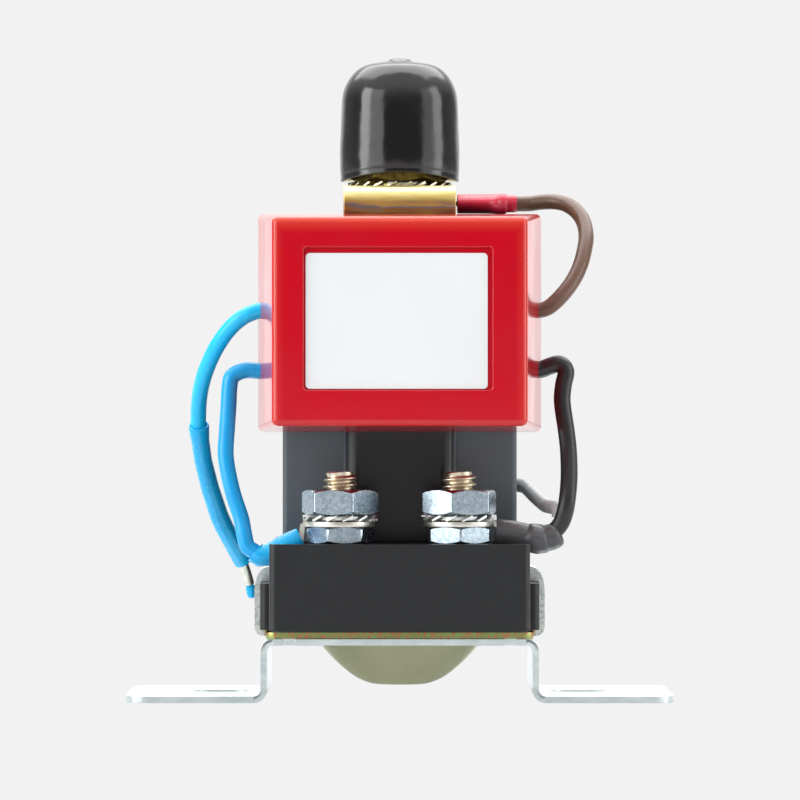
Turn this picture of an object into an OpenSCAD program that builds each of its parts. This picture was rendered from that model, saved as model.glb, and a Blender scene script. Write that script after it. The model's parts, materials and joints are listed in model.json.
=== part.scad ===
// Battery isolator relay: a plunger solenoid on a hat bracket, with a control box on its front.
// Millimetres. +Z up, +X right and -Y towards the viewer, who faces the control box.
// Origin: midway between the two foot slots, on the underside of the bracket's feet.

/* [Bracket] */
// Overall length across both feet
bracket_len = 103; // [92:1:120]
// Depth of the bracket, front to back
bracket_depth = 44; // [38:1:50]
// Height of the raised plate's top face above the mounting surface
bracket_h = 12; // [11.6:0.2:16]
// Width over the two risers
riser_w = 52.2; // [51:0.2:56]
// Sheet thickness
bracket_t = 1.25; // [0.8:0.05:1.6]
// Outer bend radius of the sheet
bracket_bend_r = 2.5; // [2:0.1:3.5]
// Corner radius of each foot, seen from above
foot_corner_r = 4.3; // [1:0.1:8]
// Distance between the centres of the two slots
slot_pitch = 68; // [66:0.5:78]
// Length of each slot from end to end
slot_len = 10.5; // [7.5:0.5:12]
// Width of each slot
slot_w = 6.6; // [5:0.2:7]

/* [Bottom cover] */
// Sheet thickness of the stamped cover
cover_t = 1.2; // [0.8:0.1:1.4]
// Width of the cover's flange
cover_w = 50.2; // [49:0.2:51]
// Depth of the cover's flange
cover_d = 43; // [40:0.5:44]
// Outer radius of the dome's rounding
dome_r = 13.5; // [13:0.1:14]
// Radius of the flat at the dome's lowest point
dome_flat_r = 3.6; // [3:0.1:4]
// How far the dome's lowest point clears the mounting surface
dome_lift = 2.6; // [1:0.1:4]
// Width of each crimp ear along the side
ear_w = 16; // [10:1:24]
// Thickness of the sealing gasket
gasket_t = 0.4; // [0.2:0.1:0.8]

/* [Contact base] */
// Width of the moulded base
base_w = 48; // [47:0.5:50]
// Height of the base from the gasket to its deck
base_h = 16.55; // [15.6:0.1:20]
// How far the terminal end reaches in front of the coil axis
base_front = 41.5; // [41:0.5:46]
// How far the base reaches behind the coil axis
base_back = 23; // [22.5:0.5:26]
// Width over the two side ledges that the ears hold
ledge_w = 52.4; // [51.6:0.1:53]
// Height of the side ledges
ledge_h = 8.7; // [6:0.1:10]
// Radius of the contact chamber
chamber_r = 16; // [15.6:0.1:16.4]
// Thickness of the deck over the contact chamber
deck_t = 3; // [2:0.1:3.6]

/* [Terminals] */
// Distance between the two load studs
stud_pitch = 22; // [20:0.5:24]
// Radius of the load studs
stud_r = 3.175; // [2.9:0.005:3.4]
// How far the studs stand in front of the coil axis
stud_front = 33; // [32:0.5:34]
// Height of the studs above the deck
stud_rise = 13.25; // [12:0.25:15]
// Size of the lower nuts across their flats
jam_nut_af = 11.11; // [10:0.01:12]
// Thickness of the lower nuts
jam_nut_t = 3.15; // [2.5:0.05:3.6]
// Thickness of the ring terminals' tongues
tongue_t = 0.9; // [0.6:0.1:1.2]
// Radius of the ring terminals' tongues
tongue_r = 6.5; // [5.5:0.1:7]
// Thickness of the toothed washers over their twisted teeth
washer_t = 1.3; // [0.9:0.1:1.6]
// Outer radius of the toothed washers
washer_r = 7.05; // [6.4:0.05:7.4]
// Size of the upper nuts across their flats
nut_af = 12.7; // [11:0.1:13.2]
// Thickness of the upper nuts
nut_t = 4.6; // [3.5:0.1:5.2]
// Width of the copper contact bars
bar_w = 8; // [6:0.5:9]
// Thickness of the copper contact bars
bar_t = 2; // [1.2:0.1:2.4]

/* [Coil housing] */
// Width of the housing
housing_w = 43.8; // [42:0.2:46]
// Depth of the housing without its front ridge
housing_d = 44; // [43:0.2:45]
// Height of the housing above the deck
housing_h = 61.2; // [58:0.1:62]
// Wall thickness of the housing
housing_wall = 2; // [1.2:0.1:2.1]
// How far the front ridge stands proud
ridge_proud = 2.5; // [1.5:0.1:3]
// Width of the front ridge at its root
ridge_w = 20.8; // [16:0.2:26]

/* [Coil and yoke] */
// Width of the yoke strip
yoke_w = 21.1; // [18:0.1:24]
// Thickness of the yoke strip
yoke_t = 2.2; // [1.6:0.1:2.4]
// Depth over the yoke's two legs
yoke_d = 39.4; // [39:0.1:39.8]
// How far the yoke's top lies above the housing's top
yoke_rise = 5.65; // [4.8:0.05:7.8]
// Outer bend radius of the yoke
yoke_bend_r = 3.2; // [2.6:0.1:4]
// Thickness of the steel pole plate under the coil
pole_plate_t = 2.5; // [1.5:0.1:3]
// Outer radius of the coil's winding
winding_r = 16.4; // [14:0.1:16.6]
// Radius of the plunger
plunger_r = 5; // [4:0.1:5.4]
// Length of the plunger
plunger_len = 29.3; // [24:0.1:36]
// How far the plunger travels to close the contacts
plunger_travel = 2; // [1:0.1:2.6]
// Radius of the neck's outer thread
neck_r = 5; // [4.4:0.1:5.4]
// Length of the neck above the yoke
neck_rise = 15; // [10:0.5:18]

/* [Neck cap] */
// Outer radius at the cap's rim
cap_r = 11.25; // [11:0.05:12]
// Outer radius at the cap's shoulder
cap_crown_r = 10.75; // [10.2:0.05:10.9]
// Radius of the cap's rounded shoulder
cap_corner_r = 6; // [4:0.1:7]
// Height of the cap
cap_h = 23; // [21:0.1:26]
// Wall thickness of the dipped vinyl
cap_wall = 1; // [0.6:0.05:1.1]

/* [Control box] */
// Width of the box at its back
box_w = 52.8; // [50:0.2:56]
// Gap from the studs' tips up to the underside of the box
box_stud_gap = 7.3; // [4:0.1:8]
// How far the box's top stands above the housing's top
box_over = 0.05; // [0:0.05:1]
// Depth of the box
box_d = 27.5; // [24:0.5:32]
// How much narrower each side is at the front, by draft
box_side_draft = 3.2; // [1:0.1:4]
// How much lower the top and bottom are at the front, by draft
box_top_draft = 1.3; // [0.5:0.1:2]
// Radius of the moulded edges
box_edge_r = 1.1; // [0.5:0.1:1.5]
// Wall thickness of the box
box_wall = 2; // [1.5:0.1:2.4]
// Width of the recess for the label
recess_w = 34.8; // [30:0.2:36]
// Height of the recess for the label
recess_h = 26.4; // [22:0.2:28]
// Depth of the recess for the label
recess_t = 0.8; // [0.4:0.1:1.2]

/* [Hidden] */
$fn = 64;
hull_fn = 16;

// One overrun for every cut, and the clearances of the fits
over = 1;
insert_gap = 0.05;
slip_gap = 0.1;
seat_gap = 0.3;
cord_gap = 0.15;

// Heights of the stack, from the mounting surface up
cover_top = bracket_h + cover_t;
base_z = cover_top + gasket_t;
deck_z = base_z + base_h;
tongue_z = deck_z + jam_nut_t;
washer_z = tongue_z + tongue_t;
nut_z = washer_z + washer_t;
stud_top = deck_z + stud_rise;
housing_top = deck_z + housing_h;
yoke_top = housing_top + yoke_rise;
yoke_under = yoke_top - yoke_t;
pole_top = deck_z + pole_plate_t;
box_foot = stud_top + box_stud_gap;
box_h = housing_top + box_over - box_foot;
box_z = box_foot + box_h / 2;

// Bracket details
notch_w = 2.4;
notch_d = 2;
notch_x = 20.8;
dome_hole_r = dome_flat_r + dome_r + slip_gap;

// The bent crimp ears
ear_fit_r = 0.5;
ear_bend_r = cover_t + ear_fit_r;
ear_in = ledge_w / 2 + slip_gap;
ear_out = ear_in + cover_t;
ear_cx = ear_out - ear_bend_r;
ledge_top = base_z + ledge_h;
ear_top_z = ledge_top + ear_bend_r - ear_fit_r;

// Base details: the open corners that the ring terminals leave through
base_corner_r = 1.3;
overhang_relief = 0.65;
front_wall = 2.5;
exit_x = 17.2;
exit_back = 24.5;
exit_floor = 6.15;
ledge_d = 41;
rod_hole_r = 2.4;

// Contacts, from the deck down
stud_x = stud_pitch / 2;
bar_drop = deck_t + 1.65;
bar_top = deck_z - bar_drop;
bar_z = bar_top - bar_t;
bar_front_lap = 5;
bar_back_y = 4;
stud_head_r = 5.4;
stud_head_t = 3;
tip_chamfer = 0.8;
contact_gap = 0.05;
disc_t = 1.5;
disc_r = 12;
disc_top = bar_z - plunger_travel - contact_gap;
disc_z = disc_top - disc_t;
bush_r = 4;
bush_t = 2.6;
bush_low_t = 1.5;
rod_r = 2;
clip_r = 3.6;
clip_t = 0.8;
groove_r = 1.5;
clip_z = disc_z - bush_low_t - clip_t;
rod_end_z = clip_z - clip_t;

// Nuts turned as they lie in the photograph, and their chamfer
jam_turn = [-50.8, -28];
nut_turn = [-11.3, -41];
chamfer_angle = 30;
hex_half_angle = 30;
thread_gap = 0.08;
washer_teeth = 14;
tooth_share = 0.22;
washer_ring_share = 0.74;
washer_core_share = 0.55;
barrel_r = 1.35;
barrel_len = 4;
neck_share = 0.8;

// Housing details
housing_corner_r = 1;
ridge_r = 2.9;
lead_hole_r = 1.6;
roof_z = housing_top - housing_wall;

// Coil, tube, core and plunger
tube_wall = 0.5;
tube_bore_r = plunger_r + slip_gap;
tube_r = tube_bore_r + tube_wall;
bobbin_bore_r = tube_r + slip_gap;
bobbin_wall = 1.1;
bobbin_flange_t = 1.2;
bobbin_neck_r = 9.8;
bobbin_top = roof_z - seat_gap;
neck_top = yoke_top + neck_rise;
collar_r = 7;
collar_t = 1.5;
plunger_z = deck_z + seat_gap;
plunger_top = plunger_z + plunger_len;
air_gap = 0.2;
core_z = plunger_top + plunger_travel + air_gap;
core_r = tube_bore_r - insert_gap;
spring_wire_r = 0.35;
spring_r = 2.6;
spring_bore_r = spring_r + spring_wire_r + seat_gap;
spring_seat = 8;
spring_seat_core = 4;
spring_z = plunger_top - spring_seat + insert_gap;
spring_top = core_z + spring_seat_core - insert_gap;
spring_curls = 7;
spring_rings = 8;
rod_seat = 5;
neck_nut_af = 17;
neck_nut_t = 5;
neck_washer_r = 9.95;
neck_washer_t = 1.2;
neck_teeth = 22;

// Coil tab, its push-on receptacle and its cover, on the right behind the yoke's edge
tab_w = 4.8;
tab_t = 0.8;
tab_y = -6;
tab_drop = 0.5;
tab_z = yoke_under - tab_drop - tab_t / 2;
tab_in_x = 7.2;
tab_len = 9.6;
shoe_x = 11.6;
shoe_len = 6;
shoe_wall = 0.4;
cover_x = 10.9;
cover_len = 11.3;
cover_cavity = 7.3;
cover_skin = 0.5;
cover_neck_r = 1.75;
cover_flare_r = 2.1;
cover_flare_x = 18.4;
cover_flare_len = 1.9;

// Cap
cap_z = yoke_top + neck_washer_t;
cap_nub_r = 2.3;
cap_nub_h = 0.6;
rim_arch = 1.5;
arch_r = (cap_r * cap_r + rim_arch * rim_arch) / (2 * rim_arch);

// Control box
box_back_y = -(housing_d / 2 + ridge_proud);
box_front_y = box_back_y - box_d;
lid_t = 2;
recess_x = -0.3;
recess_z = 0.45;
recess_r = 0.75;
label_margin = 0.83;
label_shift_x = -0.25;
label_shift_z = -0.4;
label_t = 0.2;
wire_inset = 3.8;
wire_up = 2.35;
left_wire_down = 8.95;
right_wire_down = 8.75;
wire_in_y = box_back_y - wire_inset;
wire_high = box_z + wire_up;
wire_low = [box_z - left_wire_down, box_z - right_wire_down];
wire_hole_r = 1.7;
board_side_gap = 0.2;
board_end_gap = 1.05;
board_w = box_w - 2 * (box_wall + box_side_draft + board_side_gap);
board_h = box_h - 2 * (box_wall + box_top_draft + board_end_gap);
board_t = 1.6;
board_gap = 5;
post_r = 2;
post_x_share = 0.42;
post_z_share = 0.4;
board_y = box_back_y - lid_t - board_gap - board_t;
chip_w = 9;
chip_t = 1.8;
chip_h = 6;
transistor_w = 10;
transistor_t = 4.5;
transistor_margin = 1;
transistor_h = board_h / 2 - transistor_margin;
can_r = 4;
can_h = 9;

// Radii of the wires
blue_r = 1.5;
black_r = 1.6;
brown_r = 1.45;
lead_r = 1.35;
wire_sides = 8;
sleeve_sides = 12;

// The places that the wires' ends meet, where the routes below were laid out
laid_box_x = 26.4;
laid_box_y = -24.5;
laid_box_z = 71.05;
laid_stud_x = 11;
laid_stud_y = -33;
laid_deck_z = 30.15;
laid_wall_x = 21.9;
laid_tab_y = -6;
laid_tab_z = 93.9;

// How far those places have moved, where a size was changed
box_move = [box_w / 2 - laid_box_x, box_back_y - laid_box_y, box_z - laid_box_z];
stud_move = [stud_x - laid_stud_x, -stud_front - laid_stud_y, deck_z - laid_deck_z];
wall_move = [housing_w / 2 - laid_wall_x, 0, deck_z - laid_deck_z];
tab_move = [0, tab_y - laid_tab_y, tab_z - laid_tab_z];

// The same for a place on the left
function on_left(v) = [-v[0], v[1], v[2]];

// Moves a route's two ends by a and b, and the points between in proportion
function drawn(route, a, b) = let (last = len(route) - 1)
    [for (i = [0:last]) route[i] + a * (last - i) / last + b * i / last];

// Routes of the wires and their sleeves, points chosen by hand
blue_lead_laid = [[-24, -28.3, 73.4], [-26.2, -28.3, 73.3], [-29.2, -28, 72.1], [-32, -26.5, 69.6],
    [-34.5, -24, 66], [-36.5, -20, 61.7], [-37.6, -16, 57.6], [-38, -12, 53.1], [-37.9, -11, 51.6]];
connector_laid = [[-37.9, -10.9, 51.4], [-37.8, -9.9, 49.9], [-37.3, -6, 45.3], [-36, -1, 39.5],
    [-34.2, 4, 33.7], [-32.2, 7.5, 29.8], [-30.2, 10.5, 25.5]];
connector_radii = [1.85, 1.7, 1.7, 1.75, 1.8, 1.8, 1.7];
pin_laid = [[-30.1, 10.65, 25.3], [-29.4, 11.6, 23.2], [-28.9, 12.2, 21.2]];
pin_share = 0.6;
tip_laid = [[-28.85, 12.25, 21], [-28.6, 12.5, 19.9], [-28.4, 12.7, 18.5]];
tip_share = 0.57;
blue_jumper_laid = [[-24, -28.3, 62.1], [-26.2, -28.3, 62.1], [-28.8, -28.5, 62.2], [-31, -28.7, 61.2],
    [-31.6, -29, 59.4], [-31.8, -29.5, 55.5], [-32.1, -30, 50.8], [-32.3, -30.5, 46.7], [-31.7, -31, 42.7],
    [-30.7, -31.5, 38.7], [-29.4, -32, 34.8], [-28.8, -32.7, 31.8], [-28.2, -33, 29.6], [-27, -33, 28.7]];
blue_sleeve_laid = [[-26.8, -33, 28.55], [-26, -33, 27.95], [-24.2, -33, 27.9], [-21.4, -33, 29.5],
    [-18.2, -33, 31.1]];
blue_sleeve_radii = [2, 2.2, 2.2, 2.2, 2.1];
black_jumper_laid = [[24, -28.3, 62.3], [26.3, -28.3, 62.4], [27.9, -28.5, 63], [29.8, -28.8, 63.4],
    [30.9, -29, 62], [30.4, -29.5, 59.3], [30.2, -30, 56.2], [30.9, -30.7, 51.1], [31.3, -31.3, 47.4],
    [31.4, -32.4, 43.7], [31.3, -33.3, 41], [30.9, -34.2, 38], [30.5, -34.6, 36], [30.3, -34.6, 34.5]];
black_sleeve_laid = [[29.9, -33.1, 34.3], [29.3, -33, 32.2], [27.6, -33, 31.3], [25.8, -33, 30.9],
    [23.8, -33, 31.3], [21.4, -33, 32], [18.9, -33, 32.3]];
black_sleeve_radii = [2.6, 2.6, 2.6, 2.8, 2.6, 2.3, 2.3];
sleeve_wide_share = 1.25;
brown_laid = [[19.6, -6, 93.9], [22.3, -6, 93.9], [24.7, -6, 93.95], [26.9, -6.8, 94.2], [29.4, -8, 94.2],
    [31.6, -10, 93.6], [33.4, -12.5, 92.2], [34.6, -15, 90.2], [35, -18, 87.5], [34.6, -20.5, 84.8],
    [33.7, -23, 81.7], [32.3, -25, 78.9], [30.4, -26.7, 76.4], [28.1, -28, 74.2], [26.2, -28.3, 73.4],
    [24, -28.3, 73.4]];
return_laid = [[19.4, 5, 40.4], [22.4, 5, 40.4], [23.7, 3.6, 40.2], [24.5, 0, 39.7], [25.2, -7, 38.9],
    [26.2, -15, 37.9], [27.3, -22.5, 37], [28.3, -28, 36.8], [29.2, -30.6, 36.6], [29.6, -31.5, 35.7],
    [29.5, -31.6, 34.8]];
lead_hole_y = 5;
lead_hole_rise = 10.25;

blue_lead_route = drawn(blue_lead_laid, on_left(box_move), on_left(box_move));
connector_route = drawn(connector_laid, on_left(box_move), on_left(box_move));
pin_route = drawn(pin_laid, on_left(box_move), on_left(box_move));
tip_route = drawn(tip_laid, on_left(box_move), on_left(box_move));
blue_jumper_route = drawn(blue_jumper_laid, on_left(box_move), on_left(stud_move));
blue_sleeve_route = drawn(blue_sleeve_laid, on_left(stud_move), on_left(stud_move));
black_jumper_route = drawn(black_jumper_laid, box_move, stud_move);
black_sleeve_route = drawn(black_sleeve_laid, stud_move, stud_move);
brown_route = drawn(brown_laid, tab_move, box_move);
return_route = drawn(return_laid, wall_move, stud_move);

// Helpers for flat outlines and turned parts

// A rectangle with round corners, centred on the origin
module round_rect(w, d, r) {
    square([w - 2 * r, d], center = true);
    square([w, d - 2 * r], center = true);
    for (x = [-1, 1], y = [-1, 1])
        translate([x * (w / 2 - r), y * (d / 2 - r)])
            circle(r = r);
}

// A slot with round ends, centred on the origin
module slot(len, w) {
    square([len - w, w], center = true);
    for (x = [-1, 1])
        translate([x * (len - w) / 2, 0])
            circle(r = w / 2);
}

// A quarter of a ring, for bent sheet. sx and sy say which quarter
module bend(r_out, r_in, sx, sy) {
    intersection() {
        difference() {
            circle(r = r_out);
            circle(r = r_in);
        }
        translate([min(0, sx * r_out), min(0, sy * r_out)])
            square(r_out);
    }
}

// A plate drawn in X and Z, given its depth along Y and centred on the X axis
module along_y(depth) {
    translate([0, depth / 2, 0])
        rotate([90, 0, 0])
            linear_extrude(depth)
                children();
}

// A ring standing on z = 0
module ring(r_out, r_in, h) {
    difference() {
        cylinder(r = r_out, h = h);
        translate([0, 0, -over])
            cylinder(r = r_in, h = h + 2 * over);
    }
}

// A rod standing on z = 0 with a chamfered tip
module chamfered_rod(r, h, chamfer) {
    rotate_extrude()
        polygon([[0, 0], [r, 0], [r, h - chamfer], [r - chamfer, h], [0, h]]);
}

// A hexagon nut with both faces chamfered
module hex_nut(af, h, bore_r) {
    corner_r = af / 2 / cos(hex_half_angle);
    rise = (corner_r - af / 2) * tan(chamfer_angle);
    difference() {
        intersection() {
            cylinder(r = corner_r, h = h, $fn = 6);
            rotate_extrude()
                polygon([[0, 0], [af / 2, 0], [corner_r, rise], [corner_r, h - rise], [af / 2, h], [0, h]]);
        }
        translate([0, 0, -over])
            cylinder(r = bore_r, h = h + 2 * over);
    }
}

// A washer with outside teeth. Its ring lies midway up the height of the twisted teeth
module toothed_washer(r_out, r_in, h, teeth) {
    ring_r = r_in + (r_out - r_in) * washer_core_share;
    tooth_w = 2 * PI * r_out / teeth * tooth_share * 2;
    ring_h = h * washer_ring_share;
    difference() {
        union() {
            translate([0, 0, (h - ring_h) / 2])
                cylinder(r = ring_r, h = ring_h);
            linear_extrude(h)
                intersection() {
                    circle(r = r_out);
                    for (i = [0:teeth - 1])
                        rotate(i * 360 / teeth)
                            translate([r_in, -tooth_w / 2])
                                square([r_out, tooth_w]);
                }
        }
        translate([0, 0, -over])
            cylinder(r = r_in, h = h + 2 * over);
    }
}

// Functions that sweep a round tube along a list of points

function unit(v) = v / norm(v);

function tangent(p, i) = unit(p[min(i + 1, len(p) - 1)] - p[max(i - 1, 0)]);

// One ring of the tube round point i. side is a direction that the route never runs along
function tube_ring(p, i, r, sides, side, wide) =
    let (t = tangent(p, i), n = unit(cross(side, t)), b = cross(t, n))
    [for (k = [0:sides - 1]) p[i] + r * (cos(k * 360 / sides) * n + wide * sin(k * 360 / sides) * b)];

// The tube itself. r is one radius, or a list with one for each point
module tube(p, r, sides = wire_sides, side = [0, 1, 0], wide = 1) {
    last = len(p) - 1;
    points = [for (i = [0:last], q = tube_ring(p, i, is_list(r) ? r[i] : r, sides, side, wide)) q];
    walls = [for (i = [0:last - 1], k = [0:sides - 1])
        let (a = i * sides + k, b = i * sides + (k + 1) % sides)
        each [[a, a + sides, b + sides], [a, b + sides, b]]];
    ends = [for (k = [1:sides - 2]) each [[0, k, k + 1],
        [last * sides, last * sides + k + 1, last * sides + k]]];
    polyhedron(points, concat(walls, ends));
}

// Places its child at point p of a route with +Z towards point q
module aim(p, q) {
    d = q - p;
    translate(p)
        rotate([0, acos(d[2] / norm(d)), atan2(d[1], d[0])])
            children();
}

// Bracket, bottom cover and gasket

// The hat section of one side, from the middle of the plate to the end of the foot
module bracket_side() {
    plate_z = bracket_h - bracket_t;
    plate_end = riser_w / 2 - bracket_bend_r;
    foot_start = riser_w / 2 + bracket_bend_r - bracket_t;
    bend_in_r = bracket_bend_r - bracket_t;
    translate([0, plate_z])
        square([plate_end, bracket_t]);
    translate([plate_end, bracket_h - bracket_bend_r])
        bend(bracket_bend_r, bend_in_r, 1, 1);
    translate([riser_w / 2 - bracket_t, bracket_bend_r])
        square([bracket_t, bracket_h - 2 * bracket_bend_r]);
    translate([foot_start, bracket_bend_r])
        bend(bracket_bend_r, bend_in_r, -1, -1);
    translate([foot_start, 0])
        square([bracket_len / 2 - foot_start, bracket_t]);
}

module mounting_bracket() {
    color("lightsteelblue")
        difference() {
            intersection() {
                along_y(bracket_depth) {
                    bracket_side();
                    mirror([1, 0])
                        bracket_side();
                }
                translate([0, 0, -over])
                    linear_extrude(bracket_h + 2 * over)
                        round_rect(bracket_len, bracket_depth, foot_corner_r);
            }
            translate([0, 0, bracket_h / 2])
                cylinder(r = dome_hole_r, h = bracket_h);
            for (x = [-1, 1]) {
                translate([x * slot_pitch / 2, 0, -over])
                    linear_extrude(bracket_t + 2 * over)
                        slot(slot_len, slot_w);
                translate([x * notch_x - notch_w / 2, -bracket_depth / 2 - over, bracket_h / 2])
                    cube([notch_w, notch_d + over, bracket_h]);
            }
        }
}

// The section of one crimp ear, from the flange up and over the base's ledge
module ear_section() {
    flange_end = cover_w / 2 - cover_t;
    translate([flange_end, bracket_h])
        square([ear_cx - flange_end, cover_t]);
    translate([ear_cx, bracket_h + ear_bend_r])
        bend(ear_bend_r, ear_fit_r, 1, -1);
    translate([ear_in, bracket_h + ear_bend_r])
        square([cover_t, ear_top_z - bracket_h - ear_bend_r]);
    translate([ear_cx, ear_top_z]) {
        bend(ear_bend_r, ear_fit_r, 1, 1);
        bend(ear_bend_r, ear_fit_r, -1, 1);
    }
    translate([ear_cx - ear_bend_r, ledge_top + insert_gap])
        square([cover_t, ear_top_z - ledge_top - insert_gap]);
}

// Half of the dome's section: a flat bottom and a rounded side, drawn in by the sheet where it is the hollow
module dome_section(inset) {
    top = cover_top + (inset > 0 ? over : 0);
    r = dome_r - inset;
    intersection() {
        translate([0, dome_lift])
            square([dome_flat_r + dome_r, top - dome_lift]);
        translate([0, dome_lift + inset]) {
            square([dome_flat_r, top]);
            translate([dome_flat_r, r])
                bend(r, 0, 1, -1);
            translate([0, r])
                square([dome_flat_r + r, top]);
        }
    }
}

module dome_cover() {
    flange_corner_r = 2;
    color("olive")
        difference() {
            union() {
                translate([0, 0, bracket_h])
                    linear_extrude(cover_t)
                        round_rect(cover_w, cover_d, flange_corner_r);
                rotate_extrude()
                    dome_section(0);
                along_y(ear_w) {
                    ear_section();
                    mirror([1, 0])
                        ear_section();
                }
            }
            rotate_extrude()
                dome_section(cover_t);
        }
}

module cover_gasket() {
    color("darkgreen")
        translate([0, 0, cover_top])
            linear_extrude(gasket_t)
                difference() {
                    round_rect(base_w, cover_d, base_corner_r);
                    circle(r = chamber_r);
                }
}

// Contact base, with the bars and the studs' heads moulded in

// The outline of a contact bar, used for the bar and for its place in the base
module bar_blank(side, gap) {
    front_y = -(stud_front + bar_front_lap);
    translate([side * stud_x, (front_y + bar_back_y) / 2, bar_z - gap])
        linear_extrude(bar_t + 2 * gap)
            round_rect(bar_w + 2 * gap, bar_back_y - front_y + 2 * gap, bar_w / 8);
}

// Moves its child to the foot of a stud at height z
module at_stud(side, z) {
    translate([side * stud_x, -stud_front, z])
        children();
}

// The place of a stud's head and shank in the base
module stud_place(side) {
    at_stud(side, bar_z - stud_head_t - insert_gap) {
        cylinder(r = stud_head_r + insert_gap, h = stud_head_t + insert_gap);
        cylinder(r = stud_r + insert_gap, h = base_h);
    }
}

module contact_base() {
    base_d = base_front + base_back;
    base_y = (base_back - base_front) / 2;
    relief_d = base_front - cover_d / 2;
    exit_len = base_front - front_wall - exit_back;
    color("dimgray")
        difference() {
            union() {
                translate([0, base_y, base_z])
                    linear_extrude(base_h)
                        round_rect(base_w, base_d, base_corner_r);
                translate([0, 0, base_z])
                    linear_extrude(ledge_h)
                        round_rect(ledge_w, ledge_d, base_corner_r);
            }
            translate([-base_w, -base_front - over, base_z - over])
                cube([2 * base_w, relief_d + over, overhang_relief + over]);
            translate([0, 0, base_z - over])
                cylinder(r = chamber_r, h = base_h - deck_t + over);
            translate([0, 0, base_z])
                cylinder(r = rod_hole_r, h = base_h + over);
            for (side = [-1, 1]) {
                translate([side > 0 ? exit_x : -base_w, -(base_front - front_wall), deck_z - exit_floor])
                    cube([base_w - exit_x, exit_len, exit_floor + over]);
                bar_blank(side, insert_gap);
                stud_place(side);
            }
        }
}

module load_stud(side) {
    head_z = bar_z - stud_head_t;
    color("tan")
        at_stud(side, head_z) {
            cylinder(r = stud_head_r, h = stud_head_t);
            chamfered_rod(stud_r, stud_top - head_z, tip_chamfer);
        }
}

module left_load_stud() { load_stud(-1); }

module right_load_stud() { load_stud(1); }

module contact_bar(side) {
    color("peru")
        difference() {
            bar_blank(side, 0);
            translate([side * stud_x, -stud_front, bar_z - over])
                cylinder(r = stud_r + insert_gap, h = bar_t + 2 * over);
        }
}

module left_contact_bar() { contact_bar(-1); }

module right_contact_bar() { contact_bar(1); }

// Terminal hardware, from the deck up

module jam_nut(side) {
    color("silver")
        at_stud(side, deck_z)
            rotate(jam_turn[side > 0 ? 1 : 0])
                hex_nut(jam_nut_af, jam_nut_t, stud_r + thread_gap);
}

module left_jam_nut() { jam_nut(-1); }

module right_jam_nut() { jam_nut(1); }

// A crimped ring terminal: round tongue, neck and the barrel inside the sleeve
module ring_terminal(side, route) {
    mouth = route[len(route) - 1];
    inside = route[len(route) - 2];
    neck_w = 2 * barrel_r * neck_share;
    neck_x = tongue_r + tongue_t / 2;
    start = [side * (stud_x + neck_x), -stud_front, tongue_z + tongue_t / 2];
    color("silver")
        difference() {
            union() {
                at_stud(side, tongue_z) {
                    cylinder(r = tongue_r, h = tongue_t);
                    translate([side > 0 ? 0 : -neck_x, -neck_w / 2, 0])
                        cube([neck_x, neck_w, tongue_t]);
                }
                aim(start, mouth)
                    translate([-tongue_t / 2, -neck_w / 2, 0])
                        cube([tongue_t, neck_w, norm(mouth - start) + tongue_t / 2]);
                aim(mouth, inside)
                    cylinder(r = barrel_r, h = barrel_len);
            }
            at_stud(side, tongue_z - over)
                cylinder(r = stud_r + thread_gap, h = tongue_t + 2 * over);
        }
}

module left_ring_terminal() { ring_terminal(-1, blue_sleeve_route); }

module right_ring_terminal() { ring_terminal(1, black_sleeve_route); }

// The insulating sleeve round a ring terminal's barrel
module terminal_sleeve(route, radii, wide) {
    last = len(route) - 1;
    difference() {
        tube(route, radii, sleeve_sides, [0, 1, 0], wide);
        aim(route[last], route[last - 1])
            translate([0, 0, -over])
                cylinder(r = barrel_r + insert_gap, h = barrel_len + insert_gap + over);
    }
}

module blue_terminal_sleeve() {
    color("deepskyblue")
        terminal_sleeve(blue_sleeve_route, blue_sleeve_radii, 1);
}

module black_terminal_sleeve() {
    color("#2b2b2e")
        terminal_sleeve(black_sleeve_route, black_sleeve_radii, sleeve_wide_share);
}

module lock_washer(side) {
    color("gainsboro")
        at_stud(side, washer_z)
            toothed_washer(washer_r, stud_r + thread_gap, washer_t, washer_teeth);
}

module left_lock_washer() { lock_washer(-1); }

module right_lock_washer() { lock_washer(1); }

module terminal_nut(side) {
    color("silver")
        at_stud(side, nut_z)
            rotate(nut_turn[side > 0 ? 1 : 0])
                hex_nut(nut_af, nut_t, stud_r + thread_gap);
}

module left_terminal_nut() { terminal_nut(-1); }

module right_terminal_nut() { terminal_nut(1); }

// Coil housing: a moulded sleeve with a rounded ridge down its front

module coil_housing() {
    inner_w = housing_w - 2 * housing_wall;
    inner_d = housing_d - 2 * housing_wall;
    ridge_front = housing_d / 2 + ridge_proud;
    color("#2a2c2e")
        difference() {
            translate([0, 0, deck_z])
                linear_extrude(housing_h) {
                    round_rect(housing_w, housing_d, housing_corner_r);
                    translate([0, -(ridge_front - ridge_r)])
                        slot(ridge_w, 2 * ridge_r);
                }
            translate([0, 0, deck_z - over])
                linear_extrude(housing_h - housing_wall + over)
                    round_rect(inner_w, inner_d, housing_corner_r / 2);
            for (y = [-1, 1])
                translate([0, y * (yoke_d - yoke_t) / 2, housing_top])
                    cube([yoke_w + 2 * slip_gap, yoke_t + 2 * slip_gap, 4 * housing_wall], center = true);
            translate([0, 0, roof_z - over])
                cylinder(r = bobbin_neck_r + slip_gap, h = housing_wall + 2 * over);
            translate([housing_w / 2 - housing_wall - over, lead_hole_y, deck_z + lead_hole_rise])
                rotate([0, 90, 0])
                    cylinder(r = lead_hole_r, h = housing_wall + 2 * over);
        }
}

// Magnetic circuit: yoke, pole plate, core and plunger

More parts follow.
